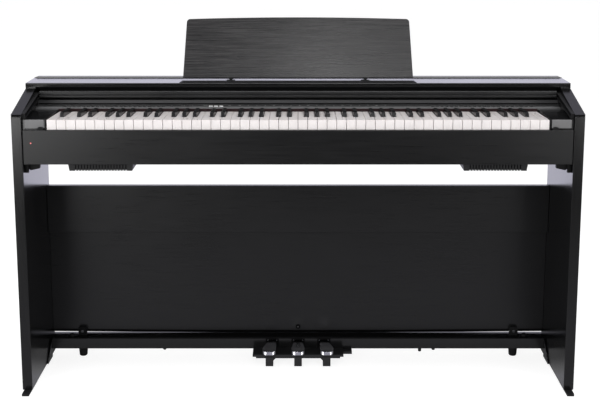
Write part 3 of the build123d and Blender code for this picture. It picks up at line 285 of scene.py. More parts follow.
def coated_metal():
    f = Finish("black_powder_coat")
    f.set(Specular_IOR_Level=0.12)
    orange_peel = f.cells(900.0)
    cloud = f.noise(14.0)
    tone = f.two_tone(cloud, (0.002, 0.002, 0.0022), (0.004, 0.004, 0.0043))
    tone = f.rubbed(tone, (0.03, 0.03, 0.03), 0.5)
    relief = f.relief(orange_peel, 0.12, 0.0003)
    return f.wire(Base_Color=tone, Roughness=f.span(cloud, 0.5, 0.62), Normal=relief)


def red_felt():
    f = Finish("red_felt")
    f.set(Sheen_Weight=0.08, Sheen_Roughness=0.5)
    fibre = f.noise(1500.0, (0.3, 1.0, 1.0), 6.0, 0.7)
    tuft = f.noise(260.0, detail=4.0)
    # The felt's own red, darkened nearly to black: painted shade of its place under the panel.
    tone = f.two_tone(fibre, (0.010, 0.0035, 0.0045), (0.034, 0.009, 0.011))
    relief = f.relief(fibre, 0.6, 0.0005, f.relief(tuft, 0.4, 0.0008))
    return f.wire(Base_Color=tone, Roughness=f.span(tuft, 0.85, 1.0), Normal=relief)


def black_rubber():
    f = Finish("black_rubber")
    f.set(Specular_IOR_Level=0.2)
    dust = f.noise(40.0, detail=5.0)
    fine = f.noise(1500.0, detail=2.0)
    tone = f.two_tone(dust, (0.004, 0.004, 0.0044), (0.008, 0.008, 0.0085))
    relief = f.relief(fine, 0.2, 0.0002)
    return f.wire(Base_Color=tone, Roughness=f.span(dust, 0.55, 0.75), Normal=relief)


def bare_board():
    f = Finish("plain_fibreboard")
    chips = f.cells(420.0, (0.6, 1.0, 1.0))
    cloud = f.noise(18.0, detail=5.0)
    tone = f.two_tone(cloud, (0.010, 0.0095, 0.009), (0.022, 0.0205, 0.019))
    relief = f.relief(chips, 0.25, 0.0004)
    return f.wire(Base_Color=tone, Roughness=f.span(cloud, 0.6, 0.75), Normal=relief)


def circuit_board():
    f = Finish("circuit_board")
    traces = f.cells(160.0, (1.0, 3.0, 1.0))
    cloud = f.noise(30.0)
    tone = f.two_tone(traces, (0.02, 0.10, 0.045), (0.035, 0.17, 0.075), 0.0, 0.6)
    relief = f.relief(traces, 0.15, 0.0003)
    return f.wire(Base_Color=tone, Roughness=f.span(cloud, 0.35, 0.5), Normal=relief)


def speaker_paper():
    f = Finish("speaker_paper_and_steel")
    fibre = f.noise(500.0, detail=5.0)
    tone = f.two_tone(fibre, (0.018, 0.018, 0.018), (0.05, 0.05, 0.05))
    relief = f.relief(fibre, 0.3, 0.0004)
    return f.wire(Base_Color=tone, Roughness=f.span(fibre, 0.55, 0.8), Normal=relief)


def lamp_lens():
    f = Finish("red_lamp_lens")
    f.set(Emission_Color=(1.0, 0.34, 0.32, 1.0), Emission_Strength=0.7, Coat_Weight=0.5)
    facets = f.cells(2600.0)
    tone = f.two_tone(facets, (0.75, 0.04, 0.04), (0.9, 0.16, 0.14), 0.0, 0.6)
    return f.wire(Base_Color=tone, Roughness=f.span(facets, 0.12, 0.25, 0.0, 0.6))


def printed_mark():
    f = Finish("pale_print")
    wear = f.noise(900.0)
    tone = f.two_tone(wear, (0.66, 0.66, 0.66), (0.82, 0.82, 0.82))
    return f.wire(Base_Color=tone, Roughness=f.span(wear, 0.5, 0.65))


BOARD_TONES = ((0.0008, 0.0008, 0.0009), (0.002, 0.002, 0.0021))
upright_board = black_board_finish("black_board_upright", "Z", *BOARD_TONES, (0.14, 0.2), 0.06)
level_board = black_board_finish("black_board_level", "X", *BOARD_TONES, (0.24, 0.32), 0.08)
bar_board = black_board_finish("black_board_bar", "X", *BOARD_TONES, (0.12, 0.17), 0.04)
lid_board = black_board_finish("black_board_lid", "X", *BOARD_TONES, (0.1, 0.15), 0.03)
grained_board = black_board_finish(
    "black_board_grained", "X", (0.005, 0.005, 0.0052), (0.033, 0.032, 0.032), (0.21, 0.29), 0.1,
    (0.36, 0.64), 420.0, 0.02,
)
case_plastic = moulded_plastic(
    "case_plastic", (0.003, 0.003, 0.0033), (0.006, 0.006, 0.0064), (0.5, 0.62)
)
panel_plastic = panel_finish()
cheek_plastic = moulded_plastic(
    "cheek_plastic", (0.005, 0.005, 0.0055), (0.008, 0.008, 0.0085), (0.1, 0.16), 0.02
)
# Paler grey for the cheek fronts than the black cheeks: painted light on the fronts.
cheek_painted_light_grey = moulded_plastic(
    "cheek_painted_light_grey", (0.113, 0.112, 0.114), (0.128, 0.127, 0.129), (0.4, 0.5), 0.05
)
cover_plastic = moulded_plastic(
    "cover_plastic", (0.007, 0.007, 0.0073), (0.011, 0.011, 0.0114), (0.26, 0.32), 0.03, 0.3
)
button_plastic = moulded_plastic(
    "button_plastic", (0.045, 0.045, 0.048), (0.065, 0.065, 0.068), (0.3, 0.4), 0.06
)
pale_plastic = moulded_plastic(
    "pale_plastic", (0.76, 0.76, 0.76), (0.84, 0.84, 0.84), (0.35, 0.45), 0.05
)
chassis_plastic = moulded_plastic("chassis_plastic", (0.10, 0.10, 0.10), (0.14, 0.14, 0.14))
guide_plastic = moulded_plastic(
    "guide_plastic", (0.003, 0.003, 0.0032), (0.005, 0.005, 0.0052), (0.6, 0.7), 0.1, 0.25
)
# Near-black with almost no gloss: painted shade, for the strips, frames and caps set into grooves,
# gaps and recesses.
painted_shade_black = moulded_plastic(
    "painted_shade_black", (0.0006, 0.0006, 0.0007), (0.0012, 0.0012, 0.0013), (0.7, 0.8), 0.1, 0.04
)
gloss_paint = moulded_plastic(
    "gloss_paint", (0.002, 0.002, 0.0022), (0.004, 0.004, 0.0043), (0.1, 0.16), 0.02
)
white_key = white_key_finish()
black_key = black_key_finish()
chrome = pedal_chrome()
dark_steel = steel_finish("dark_screw_steel", (0.10, 0.10, 0.105), (0.2, 0.2, 0.205), (0.3, 0.45))
bright_steel = steel_finish("bright_rod_steel", (0.42, 0.42, 0.43), (0.58, 0.58, 0.59), (0.2, 0.32))
powder_coat = coated_metal()
felt = red_felt()
rubber = black_rubber()
fibreboard = bare_board()
green_board = circuit_board()
paper_cone = speaker_paper()
lamp_red = lamp_lens()
pale_print = printed_mark()


# Mesh building blocks
ALONG_WIDTH = (1.0, 0.0, 0.0)
ALONG_DEPTH = (0.0, 1.0, 0.0)


def edges_of(verts):
    return list(dict.fromkeys(edge for vert in verts for edge in vert.link_edges))


def edges_within(verts):
    """The edges that join two of these points."""
    return [e for e in edges_of(verts) if e.verts[0] in verts and e.verts[1] in verts]


def edges_between(verts, others):
    """The edges that lead from these points to the others."""
    return [e for e in edges_of(verts) if e.verts[0] in others or e.verts[1] in others]


def edges_front_to_back(verts):
    return [e for e in edges_of(verts) if abs(depth_of(e.verts[0]) - depth_of(e.verts[1])) > 1]


def folded_edges(bm, angle=1.0):
    """The edges where two faces meet at more than an angle in radians."""
    return [e for e in bm.edges if e.calc_face_angle(0.0) > angle]


def rounded(bm, edges, radius, segments=3):
    bmesh.ops.bevel(
        bm, geom=list(edges), offset=radius * MM, offset_type="OFFSET", segments=segments,
        profile=0.5, affect="EDGES", clamp_overlap=True, material=-1,
    )


def cut(bm, point, normal):
    """Splits the faces along a plane, so that the piece can bend there."""
    bmesh.ops.bisect_plane(
        bm, geom=[*bm.verts, *bm.edges, *bm.faces], dist=1e-7, plane_co=point, plane_no=normal,
    )


def turned(axis, degrees):
    return Matrix.Rotation(math.radians(degrees), 4, axis)


def add_cuboid(bm, size, middle):
    """A block given by its size and its middle, near the origin."""
    verts = bmesh.ops.create_cube(bm, size=1.0)["verts"]
    bmesh.ops.scale(bm, vec=Vector(size) * MM, verts=verts)
    bmesh.ops.translate(bm, vec=Vector(middle) * MM, verts=verts)
    return verts


def add_block(bm, x0, x1, d0, d1, z0, z1, radius=0.0, segments=3):
    """A block between two places across, two depths and two heights."""
    low = place(x0, d0, z0)
    high = place(x1, d1, z1)
    verts = bmesh.ops.create_cube(bm, size=1.0)["verts"]
    bmesh.ops.scale(bm, vec=high - low, verts=verts)
    bmesh.ops.translate(bm, vec=(low + high) / 2, verts=verts)
    if radius:
        rounded(bm, edges_of(verts), radius, segments)
    return verts


def add_side_block(bm, side, inner, outer, d0, d1, z0, z1, radius=0.0, segments=3):
    """A block on one side of the piano, between two distances from its middle."""
    low, high = sorted((side * inner, side * outer))
    return add_block(bm, low, high, d0, d1, z0, z1, radius, segments)


def add_prism(bm, corners, shift):
    """A flat outline, given as points in space, drawn out by a shift."""
    base = [bm.verts.new(point) for point in corners]
    face = bm.faces.new(base)
    drawn = bmesh.ops.extrude_face_region(bm, geom=[face])
    moved = [part for part in drawn["geom"] if isinstance(part, bmesh.types.BMVert)]
    bmesh.ops.translate(bm, vec=shift, verts=moved)
    return base, moved


def add_side_outline(bm, outline, x0, x1):
    """An outline in depth and height, drawn out along the width."""
    corners = [place(x0, depth, height) for depth, height in outline]
    return add_prism(bm, corners, Vector(((x1 - x0) * MM, 0.0, 0.0)))


def add_disc(bm, radius, top_radius, length, segments):
    """An upright round piece around the origin, as wide as radius at its foot."""
    return bmesh.ops.create_cone(
        bm, cap_ends=True, cap_tris=False, segments=segments,
        radius1=radius * MM, radius2=top_radius * MM, depth=length * MM,
    )["verts"]


def add_round(bm, radius, top_radius, x, depth, z0, z1, segments=32):
    """An upright round piece in its place, between two heights."""
    verts = add_disc(bm, radius, top_radius, z1 - z0, segments)
    bmesh.ops.translate(bm, vec=place(x, depth, (z0 + z1) / 2), verts=verts)
    return verts


def rim(verts, height):
    """The edges that lie at one height."""
    level = height * MM
    return [e for e in edges_of(verts) if all(abs(v.co.z - level) < 1e-6 for v in e.verts)]


def finish_piece(name, bm, material, body, slot, *nodes, sharp=32.0):
    """Makes the mesh a piece with its finish, riding on a body, in place of the named CAD nodes."""
    bmesh.ops.recalc_face_normals(bm, faces=bm.faces)
    mesh = bpy.data.meshes.new(name)
    bm.to_mesh(mesh)
    bm.free()
    mesh.materials.append(material)
    mesh.shade_smooth()
    mesh.set_sharp_from_angle(angle=math.radians(sharp))
    piece = bpy.data.objects.new(name, mesh)
    scene.collection.objects.link(piece)
    weighted = piece.modifiers.new("even_shading", "WEIGHTED_NORMAL")
    weighted.keep_sharp = True
    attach(piece, body)
    if nodes:
        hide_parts(*nodes)


def dress(material, *names):
    """Gives CAD nodes that stay as they are their finish."""
    for name in names:
        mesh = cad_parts[name].data
        mesh.materials.clear()
        mesh.materials.append(material)


# Stand
GROOVE_DEPTH = 3.2
SHOE_HALF_WIDTH = 8.75
LOWER_BOARD_TOP = 358.0
LOWER_BOARD_BACK = 268.0
FOOT_FLAT = 230.0
FOOT_DROP = 3.85
FOOT_LIFT = 3.1
BRACKET_TOP = 590.0


def side_panel(name, side):
    bm = bmesh.new()
    groove = [
        (0, ARM_CORNER - 5.0), (GROOVE_DEPTH, ARM_CORNER - 4.2), (GROOVE_DEPTH, ARM_CORNER - 1.8),
        (0.8, ARM_CORNER - 1.2), (1.6, ARM_CORNER + 0.4),
    ]
    arm = [(LID_FRONT, LID_BOTTOM), (PANEL_DEPTH, LID_BOTTOM)]
    outline = [(0, SHOE_HEIGHT), *groove, *arm, (PANEL_DEPTH, SHOE_HEIGHT)]
    base, moved = add_side_outline(bm, outline, side * INNER_FACE, side * HALF_WIDTH)
    crisp = set(edges_of([v for v in bm.verts if 0.5 < depth_of(v) < 4.0]))
    rounded(bm, [e for e in edges_of(base + moved) if e not in crisp], 1.6)
    finish_piece(name, bm, upright_board, CASE, "black_board_finish", name)
    # A near-black block in the groove at the arm's corner: painted shade of the groove.
    bm = bmesh.new()
    inner = INNER_FACE + 0.8
    outer = HALF_WIDTH - 0.8
    add_side_block(bm, side, inner, outer, 0.9, 3.6, ARM_CORNER - 4.6, ARM_CORNER - 1.5, 0.3, 2)
    finish_piece(f"{name}_seam", bm, painted_shade_black, CASE, "black_plastic")


def stand_feet():
    bm = bmesh.new()
    for side in SIDES:
        middle = side * (INNER_FACE + HALF_WIDTH) / 2
        left = middle - SHOE_HALF_WIDTH
        right = middle + SHOE_HALF_WIDTH
        shoe = add_block(bm, left, right, -27, 70, 0, SHOE_HEIGHT)
        nose = [e for e in edges_of(shoe) if all(depth_of(v) < 0 for v in e.verts)]
        rounded(bm, nose, 2.6, 4)
        add_block(bm, left, right, 202, 270.8, 0, SHOE_HEIGHT, 1.2)
        foot = add_round(bm, 10.5, 12.5, side * 588, 246, 0, 28)
        rounded(bm, rim(foot, 0), 4.0, 5)
    finish_piece("stand_feet", bm, rubber, CASE, "black_plastic", "stand_feet")


def back_boards():
    bm = bmesh.new()
    add_block(bm, -INNER_FACE, INNER_FACE, 237.5, BOARD_JOINT, 350, 478, 1.5)
    finish_piece("back_board_upper", bm, level_board, CASE, "black_board_finish", "back_board_upper")
    bm = bmesh.new()
    outline = [
        (BOARD_JOINT, BOARD_FOOT + 10), (BOARD_JOINT, LOWER_BOARD_TOP),
        (LOWER_BOARD_BACK, LOWER_BOARD_TOP), (LOWER_BOARD_BACK, BOARD_FOOT),
        (LOWER_BOARD_BACK - 2, BOARD_FOOT),
    ]
    base, moved = add_side_outline(bm, outline, -INNER_FACE, INNER_FACE)
    rounded(bm, edges_of(base + moved), 0.8, 2)
    for x in range(-600, 601, 60):
        cut(bm, place(x, 0, 0), ALONG_WIDTH)
    # The foot closes on the bar in the middle, and opens a little towards both ends.
    for vert in bm.verts:
        if height_of(vert) < BOARD_FOOT + 20:
            outward = max(0.0, abs(vert.co.x) / MM - FOOT_FLAT) / (INNER_FACE - FOOT_FLAT)
            vert.co.z -= (FOOT_DROP - FOOT_LIFT * outward) * MM
    finish_piece("back_board_lower", bm, level_board, CASE, "black_board_finish", "back_board_lower")


def stand_brackets():
    bm = bmesh.new()
    wedge = [(637, 586), (664.5, 586), (664.5, 571.5), (659.5, 567), (637, 572)]
    for side in SIDES:
        add_side_block(bm, side, 632.5, INNER_FACE, 30, 62, 585, BRACKET_TOP, 0.9)
        corners = [place(side * x, 30, z) for x, z in wedge]
        base, moved = add_prism(bm, corners, Vector((0.0, 12 * MM, 0.0)))
        rounded(bm, edges_of(base + moved), 0.9)
        add_side_block(bm, side, 662, INNER_FACE, 19, 28, 563, BRACKET_TOP, 1.2)
        add_round(bm, 7.5, 7.5, side * KNOB_X, KNOB_DEPTH, 573.6, 586, 24)
    finish_piece("keybed_brackets", bm, powder_coat, CASE, "black_metal", "stand_brackets")
    bm = bmesh.new()
    for side in SIDES:
        clamp = add_side_block(bm, side, 578, 600, 244, BOARD_JOINT, 57.5, 80.5)
        upper = [v for v in clamp if height_of(v) > 80]
        rounded(bm, edges_front_to_back(upper), 4.0, 5)
        front = [e for e in bm.edges if all(depth_of(v) < 244.5 for v in e.verts)]
        rounded(bm, front, 0.8, 2)
    finish_piece("board_clamps", bm, powder_coat, CASE, "black_metal", "stand_brackets")
    bm = bmesh.new()
    outline = [(221, SHOE_HEIGHT), (165, SHOE_HEIGHT), (205, 46), (221, 57.5)]
    for side in SIDES:
        base, moved = add_side_outline(bm, outline, side * 666.5, side * INNER_FACE)
        rounded(bm, edges_of(base + moved), 1.3, 4)
    finish_piece("floor_gussets", bm, gloss_paint, CASE, "black_metal", "stand_brackets")
    # Thin bright steel strips along the gussets' front edges: painted glints.
    bm = bmesh.new()
    outline = [(218, 55.6), (205.4, 46.6), (186, 27.2), (186.8, 26.4), (206, 45.6), (218.6, 54.6)]
    for side in SIDES:
        base, moved = add_side_outline(bm, outline, side * 665.8, side * 666.8)
        rounded(bm, edges_of(base + moved), 0.25, 2)
    finish_piece("gusset_painted_glints", bm, bright_steel, CASE, "black_metal")


# Body
REBATE_DEPTH = 163.0
REBATE_TOP = LID_BOTTOM + 4.0
UNDERCUT = 0.8
STRIP_ROOT = LID_TOP - 0.6
STRIP_FRONT = 257.5
STRIP_TOP = 769.5
STRIP_END_SLOPE = 8.0
SLIP_HALF_WIDTH = 668.7
SLIP_BOTTOM = 588.0
SLIP_SHELF = 655.7
SLIP_TOP = 672.7
SLIP_LIP = 5.0
SLIP_THICKNESS = 18.0
CHEEK_INNER = 614.5


def top_lid():
    bm = bmesh.new()
    outline = [
        (REBATE_DEPTH, LID_BOTTOM), (REBATE_DEPTH, REBATE_TOP), (LID_FRONT + UNDERCUT, REBATE_TOP),
        (LID_FRONT, LID_TOP), (PANEL_DEPTH, LID_TOP), (PANEL_DEPTH, LID_BOTTOM),
    ]
    add_side_outline(bm, outline, -HALF_WIDTH, HALF_WIDTH)
    nose = [e for e in bm.edges if all(depth_of(v) < 159 and height_of(v) > 765 for v in e.verts)]
    rounded(bm, nose, 2.6, 6)
    rebate = {v for v in bm.verts if depth_of(v) < 170 and height_of(v) < 757}
    rounded(bm, [e for e in folded_edges(bm) if not rebate & set(e.verts)], 1.4)
    # Over the side panels the rebate is closed.
    end = [
        (LID_FRONT + UNDERCUT, REBATE_TOP), (LID_FRONT + 1.2, LID_BOTTOM),
        (REBATE_DEPTH, LID_BOTTOM), (REBATE_DEPTH, REBATE_TOP),
    ]
    for side in SIDES:
        add_side_outline(bm, end, side * INNER_FACE, side * HALF_WIDTH)
    strip = [
        (STRIP_FRONT, STRIP_ROOT), (STRIP_FRONT, LID_TOP + 0.5), (STRIP_FRONT + 2.5, STRIP_TOP),
        (PANEL_DEPTH, STRIP_TOP), (PANEL_DEPTH, STRIP_ROOT),
    ]
    base, moved = add_side_outline(bm, strip, -HALF_WIDTH, HALF_WIDTH)
    crest = [v for v in base + moved if height_of(v) > 769]
    bmesh.ops.scale(bm, vec=(1.0 - STRIP_END_SLOPE / HALF_WIDTH, 1.0, 1.0), verts=crest)
    rounded(bm, edges_within(crest), 0.5)
    finish_piece("top_lid", bm, lid_board, CASE, "black_board_finish", "top_lid")
    # A near-black strip at the back of the lid's rebate: painted shadow under the lid's front.
    bm = bmesh.new()
    reach = INNER_FACE - 0.5
    add_block(bm, -reach, reach, 161.6, 163.2, LID_BOTTOM, LID_BOTTOM + 4.1, 0.4, 2)
    finish_piece("lid_painted_shadow_strip", bm, painted_shade_black, CASE, "black_plastic")


def key_slip():
    bm = bmesh.new()
    outline = [
        (0, SLIP_BOTTOM), (0, SLIP_TOP), (SLIP_LIP, SLIP_TOP), (SLIP_LIP, SLIP_SHELF),
        (SLIP_THICKNESS, SLIP_SHELF), (SLIP_THICKNESS, SLIP_BOTTOM),
    ]
    base, moved = add_side_outline(bm, outline, -SLIP_HALF_WIDTH, SLIP_HALF_WIDTH)
    rounded(bm, edges_of(base + moved), 1.2)
    finish_piece("key_slip", bm, level_board, CASE, "black_board_finish", "key_slip")
    bm = bmesh.new()
    lens = bmesh.ops.create_uvsphere(bm, u_segments=20, v_segments=12, radius=1.4 * MM)["verts"]
    bmesh.ops.scale(bm, vec=(1.0, 0.35, 1.0), verts=lens)
    bmesh.ops.translate(bm, vec=place(-649.5, 0, 641), verts=lens)
    finish_piece("power_lamp", bm, lamp_red, CASE, "red_lamp", "power_lamp", sharp=80.0)


def cheek_blocks():
    bm = bmesh.new()
    outline = [
        (9, SLIP_SHELF), (9, 698), (191.5, 697.9), (191.5, 605),
        (SLIP_THICKNESS, 605), (SLIP_THICKNESS, SLIP_SHELF),
    ]
    for side in SIDES:
        base, moved = add_side_outline(bm, outline, side * CHEEK_INNER, side * INNER_FACE)
        rounded(bm, edges_of(base + moved), 0.8)
    finish_piece("cheek_blocks", bm, cheek_plastic, CASE, "black_plastic", "cheek_blocks")
    # Grey plates on the cheek fronts, paler than the black cheeks: painted light.
    bm = bmesh.new()
    for side in SIDES:
        add_side_block(bm, side, 617, 665, 6, 10, 676.6, 697.8, 1.4, 4)
    finish_piece("cheek_fronts_painted_light", bm, cheek_painted_light_grey, CASE, "black_plastic", "cheek_blocks")
    bm = bmesh.new()
    for side in SIDES:
        pad = add_side_block(bm, side, 618, 633, 1, SLIP_LIP, SLIP_TOP, SLIP_TOP + 8)
        upper = [v for v in pad if height_of(v) > SLIP_TOP + 7]
        rounded(bm, edges_front_to_back(upper), 6.0, 6)
    finish_piece("slip_pads", bm, rubber, CASE, "black_rubber", "slip_pads")


# Keys
KEY_FRONT = 7.0
KEY_HEAD_END = 57.0
KEY_END = 237.0
KEY_TOP = 697.5
KEY_BOTTOM = 673.5
KEY_FALL = math.tan(math.radians(1.85))
PIVOT_ROOM = 3.4
WHITE_PITCH = 23.5
WHITE_COUNT = 52
MIDDLE_OCTAVE = range(23, 30)
KEYS_LEFT = -611.0
KEY_GAP = 1.0
BLACK_WIDTH = 10.5
BLACK_FRONT = 58.0
BLACK_CREST = 62.5
BLACK_END = 150.0
BLACK_RISE = 10.8
BLACK_TAPER = 0.9
NOTES = "ABCDEFG"
BLACK_SHIFT = {"C": -0.08, "D": 0.08, "F": -0.12, "G": 0.0, "A": 0.12}


def note_of(index):
    return NOTES[index % len(NOTES)]


def has_black_after(index):
    return note_of(index) in BLACK_SHIFT and index < WHITE_COUNT - 1


def black_centre(index):
    return KEYS_LEFT + (index + 1 + BLACK_SHIFT[note_of(index)]) * WHITE_PITCH


def key_top(depth):
    return KEY_TOP - (depth - KEY_FRONT) * KEY_FALL


def add_white_key(bm, index):
    left = KEYS_LEFT + index * WHITE_PITCH + KEY_GAP / 2
    right = left + WHITE_PITCH - KEY_GAP
    clear = BLACK_WIDTH / 2 + KEY_GAP
    tail_left = left
    tail_right = right
    if index > 0 and has_black_after(index - 1):
        tail_left = black_centre(index - 1) + clear
    if has_black_after(index):
        tail_right = black_centre(index) - clear
    plan = [(left, KEY_FRONT), (right, KEY_FRONT), (right, KEY_HEAD_END)]
    if tail_right < right:
        plan.append((tail_right, KEY_HEAD_END))
    plan += [(tail_right, KEY_END), (tail_left, KEY_END)]
    if tail_left > left:
        plan.append((tail_left, KEY_HEAD_END))
    plan.append((left, KEY_HEAD_END))
    corners = [place(x, depth, key_top(depth)) for x, depth in plan]
    base, moved = add_prism(bm, corners, Vector((0.0, 0.0, 0.0)))
    for vert in moved:
        along = (depth_of(vert) - KEY_FRONT) / (KEY_END - KEY_FRONT)
        vert.co.z = (KEY_BOTTOM + PIVOT_ROOM * along) * MM
    rounded(bm, edges_within(base) + edges_between(base[:2], moved), 0.7, 2)


def add_black_key(bm, index):
    centre = black_centre(index)
    left = centre - BLACK_WIDTH / 2
    right = centre + BLACK_WIDTH / 2
    verts = add_block(bm, left, right, BLACK_FRONT, BLACK_END + 1.5, KEY_TOP - 8, KEY_TOP)
    upper = [v for v in verts if height_of(v) > KEY_TOP - 1]
    for vert in upper:
        depth = BLACK_CREST if depth_of(vert) < 100 else BLACK_END
        x = left + BLACK_TAPER if vert.co.x < centre * MM else right - BLACK_TAPER
        vert.co = place(x, depth, key_top(depth) + BLACK_RISE)
    rounded(bm, edges_of(upper), 1.3)
    stem_top = key_top(KEY_END) - 0.6
    add_block(bm, left, right, BLACK_FRONT, KEY_END, KEY_BOTTOM + PIVOT_ROOM, stem_top)


def keys():
    pieces = {}
    for index in range(WHITE_COUNT):
        note = note_of(index).lower()
        middle = index in MIDDLE_OCTAVE
        name = f"key_{note}4" if middle else f"outer_{note}_keys"
        pieces.setdefault(name, []).append((add_white_key, index))
        if has_black_after(index):
            group = "outer_black_pairs" if note in "cd" else "outer_black_threes"
            name = f"key_{note}_sharp_4" if middle else group
            pieces.setdefault(name, []).append((add_black_key, index))
    for name, members in pieces.items():
        bm = bmesh.new()
        for shape, index in members:
            shape(bm, index)
        is_black = members[0][0] is add_black_key
        material = black_key if is_black else white_key
        slot = "black_key_plastic" if is_black else "white_key_plastic"
        finish_piece(name, bm, material, name, slot, name)


# Key cover
COVER_HALF_WIDTH = 661.0
COVER_FRONT = 158.0
COVER_BACK = 252.0
RAIL_BACK = 166.0
RAIL_BOTTOM = 729.0
RAIL_WAIST = 735.0
LEAF_BOTTOM = 741.5
LEAF_TOP = 746.0


def key_cover():
    bm = bmesh.new()
    waist_end = RAIL_WAIST + 1.2
    rail = [
        (COVER_FRONT, RAIL_BOTTOM), (COVER_FRONT, RAIL_WAIST), (COVER_FRONT + 4, RAIL_WAIST),
        (COVER_FRONT + 4, waist_end), (COVER_FRONT, waist_end), (COVER_FRONT, LEAF_TOP),
    ]
    leaf = [
        (COVER_BACK, LEAF_TOP), (COVER_BACK, LEAF_BOTTOM), (RAIL_BACK, LEAF_BOTTOM),
        (RAIL_BACK, RAIL_BOTTOM),
    ]
    add_side_outline(bm, rail + leaf, -COVER_HALF_WIDTH, COVER_HALF_WIDTH)
    for height, radius in ((RAIL_WAIST, 3.2), (LEAF_TOP, 5.0)):
        level = rim(bm.verts, height)
        nose = [e for e in level if all(depth_of(v) < COVER_FRONT + 0.5 for v in e.verts)]
        rounded(bm, nose, radius, 8)
    rounded(bm, folded_edges(bm), 0.4, 2)
    for side in SIDES:
        add_side_block(bm, side, 642.5, COVER_HALF_WIDTH, 165, 174.25, 730.75, 742, 0.8)
    name = "cover_front_leaf"
    finish_piece(name, bm, cover_plastic, name, "cover_plastic", name)
    bm = bmesh.new()
    add_block(bm, -COVER_HALF_WIDTH, COVER_HALF_WIDTH, RAIL_BACK, COVER_BACK, 746.4, 750.9, 0.8)
    name = "cover_rear_leaf"
    finish_piece(name, bm, guide_plastic, name, "cover_plastic", name)
    # A near-black strip over the rear leaf's front edge: painted shade in the gap under the lid.
    bm = bmesh.new()
    reach = COVER_HALF_WIDTH - 1
    add_block(bm, -reach, reach, 165.3, 166.3, 746.6, 750.7, 0.3, 2)
    finish_piece("rear_leaf_painted_shade", bm, painted_shade_black, "cover_rear_leaf", "cover_plastic")


# Control panel furniture
PANEL_SLOPE = math.atan2(6.5, 28.0)
POWER_X = -325.0
SLIDER_X = -285.0


def on_panel(x):
    """The middle of the panel's sloping face at a place along the width."""
    return Matrix.Translation(place(x, 167.5, 704.43)) @ Matrix.Rotation(PANEL_SLOPE, 4, "X")


def panel_controls():
    for name, x, material, slot in (
        ("function_button", -224, pale_plastic, "pale_button_plastic"),
        ("tone_button", -210.5, pale_plastic, "pale_button_plastic"),
        ("metronome_button", -197, pale_plastic, "pale_button_plastic"),
        ("power_button", POWER_X, button_plastic, "button_plastic"),
    ):
        bm = bmesh.new()
        button = add_cuboid(bm, (10, 6, 7.6), (0, 0, -2.2))
        rounded(bm, [e for e in edges_of(button) if any(v.co.z > 0 for v in e.verts)], 0.7)
        bmesh.ops.transform(bm, matrix=on_panel(x), verts=bm.verts)
        finish_piece(name, bm, material, name, slot, name)
    bm = bmesh.new()
    cap = add_cuboid(bm, (8, 6, 4), (0, 0, 2.35))
    crown = [v for v in cap if height_of(v) > 3]
    bmesh.ops.scale(bm, vec=(0.6, 1.0, 1.0), verts=crown)
    rounded(bm, edges_of(cap), 0.5)
    add_cuboid(bm, (4, 2.3, 6), (0, 0, -2.6))
    bmesh.ops.transform(bm, matrix=on_panel(SLIDER_X), verts=bm.verts)
    name = "volume_slider"
    finish_piece(name, bm, button_plastic, name, "button_plastic", name)
    # Printed dashes, each by its place, length and width.
    bm = bmesh.new()
    dashes = [(POWER_X, 4.0, 1.6), (-237, 11.0, 1.4), (-176, 7.0, 1.4)]
    dashes += [(SLIDER_X + step, 2.2, 1.6) for step in (-14, -7, 0, 7, 14)]
    dashes += [(-150 + 22 * i, 6.0 if i % 4 == 0 else 3.0, 2.0) for i in range(18)]
    for x, length, width in dashes:
        dash = add_cuboid(bm, (length, width, 0.16), (0, 6.6, 0.06))
        bmesh.ops.transform(bm, matrix=on_panel(x), verts=dash)
    finish_piece("panel_marks", bm, pale_print, CASE, "button_plastic")
    # A near-black strip where the sloping face meets the ledge: painted shade of the gap between
    # them.
    bm = bmesh.new()
    reach = INNER_FACE - 1
    add_block(bm, -reach, reach, 182.6, 183.8, 707.4, 710.2, 0.4, 2)
    finish_piece("panel_seam", bm, painted_shade_black, CASE, "black_plastic")
    # A dark felt strip on the panel's front edge above the keys: real felt, and its darkness over
    # the edge is painted shade of the gap there.
    bm = bmesh.new()
    add_block(bm, -612, 612, 153.0, 153.9, 697.9, 700.7, 0.3, 2)
    finish_piece("panel_edge_felt_and_shade", bm, felt, CASE, "red_felt")


# Music rest
REST_TILT = -17.0
REST_THICKNESS = 9.0
REST_FOOT_HALF = 298.0
REST_TOP_HALF = 289.5
REST_SHOULDER = 154.8
REST_CROWN = 4.7
PEG_PLACES = (-174.5, 174.5)


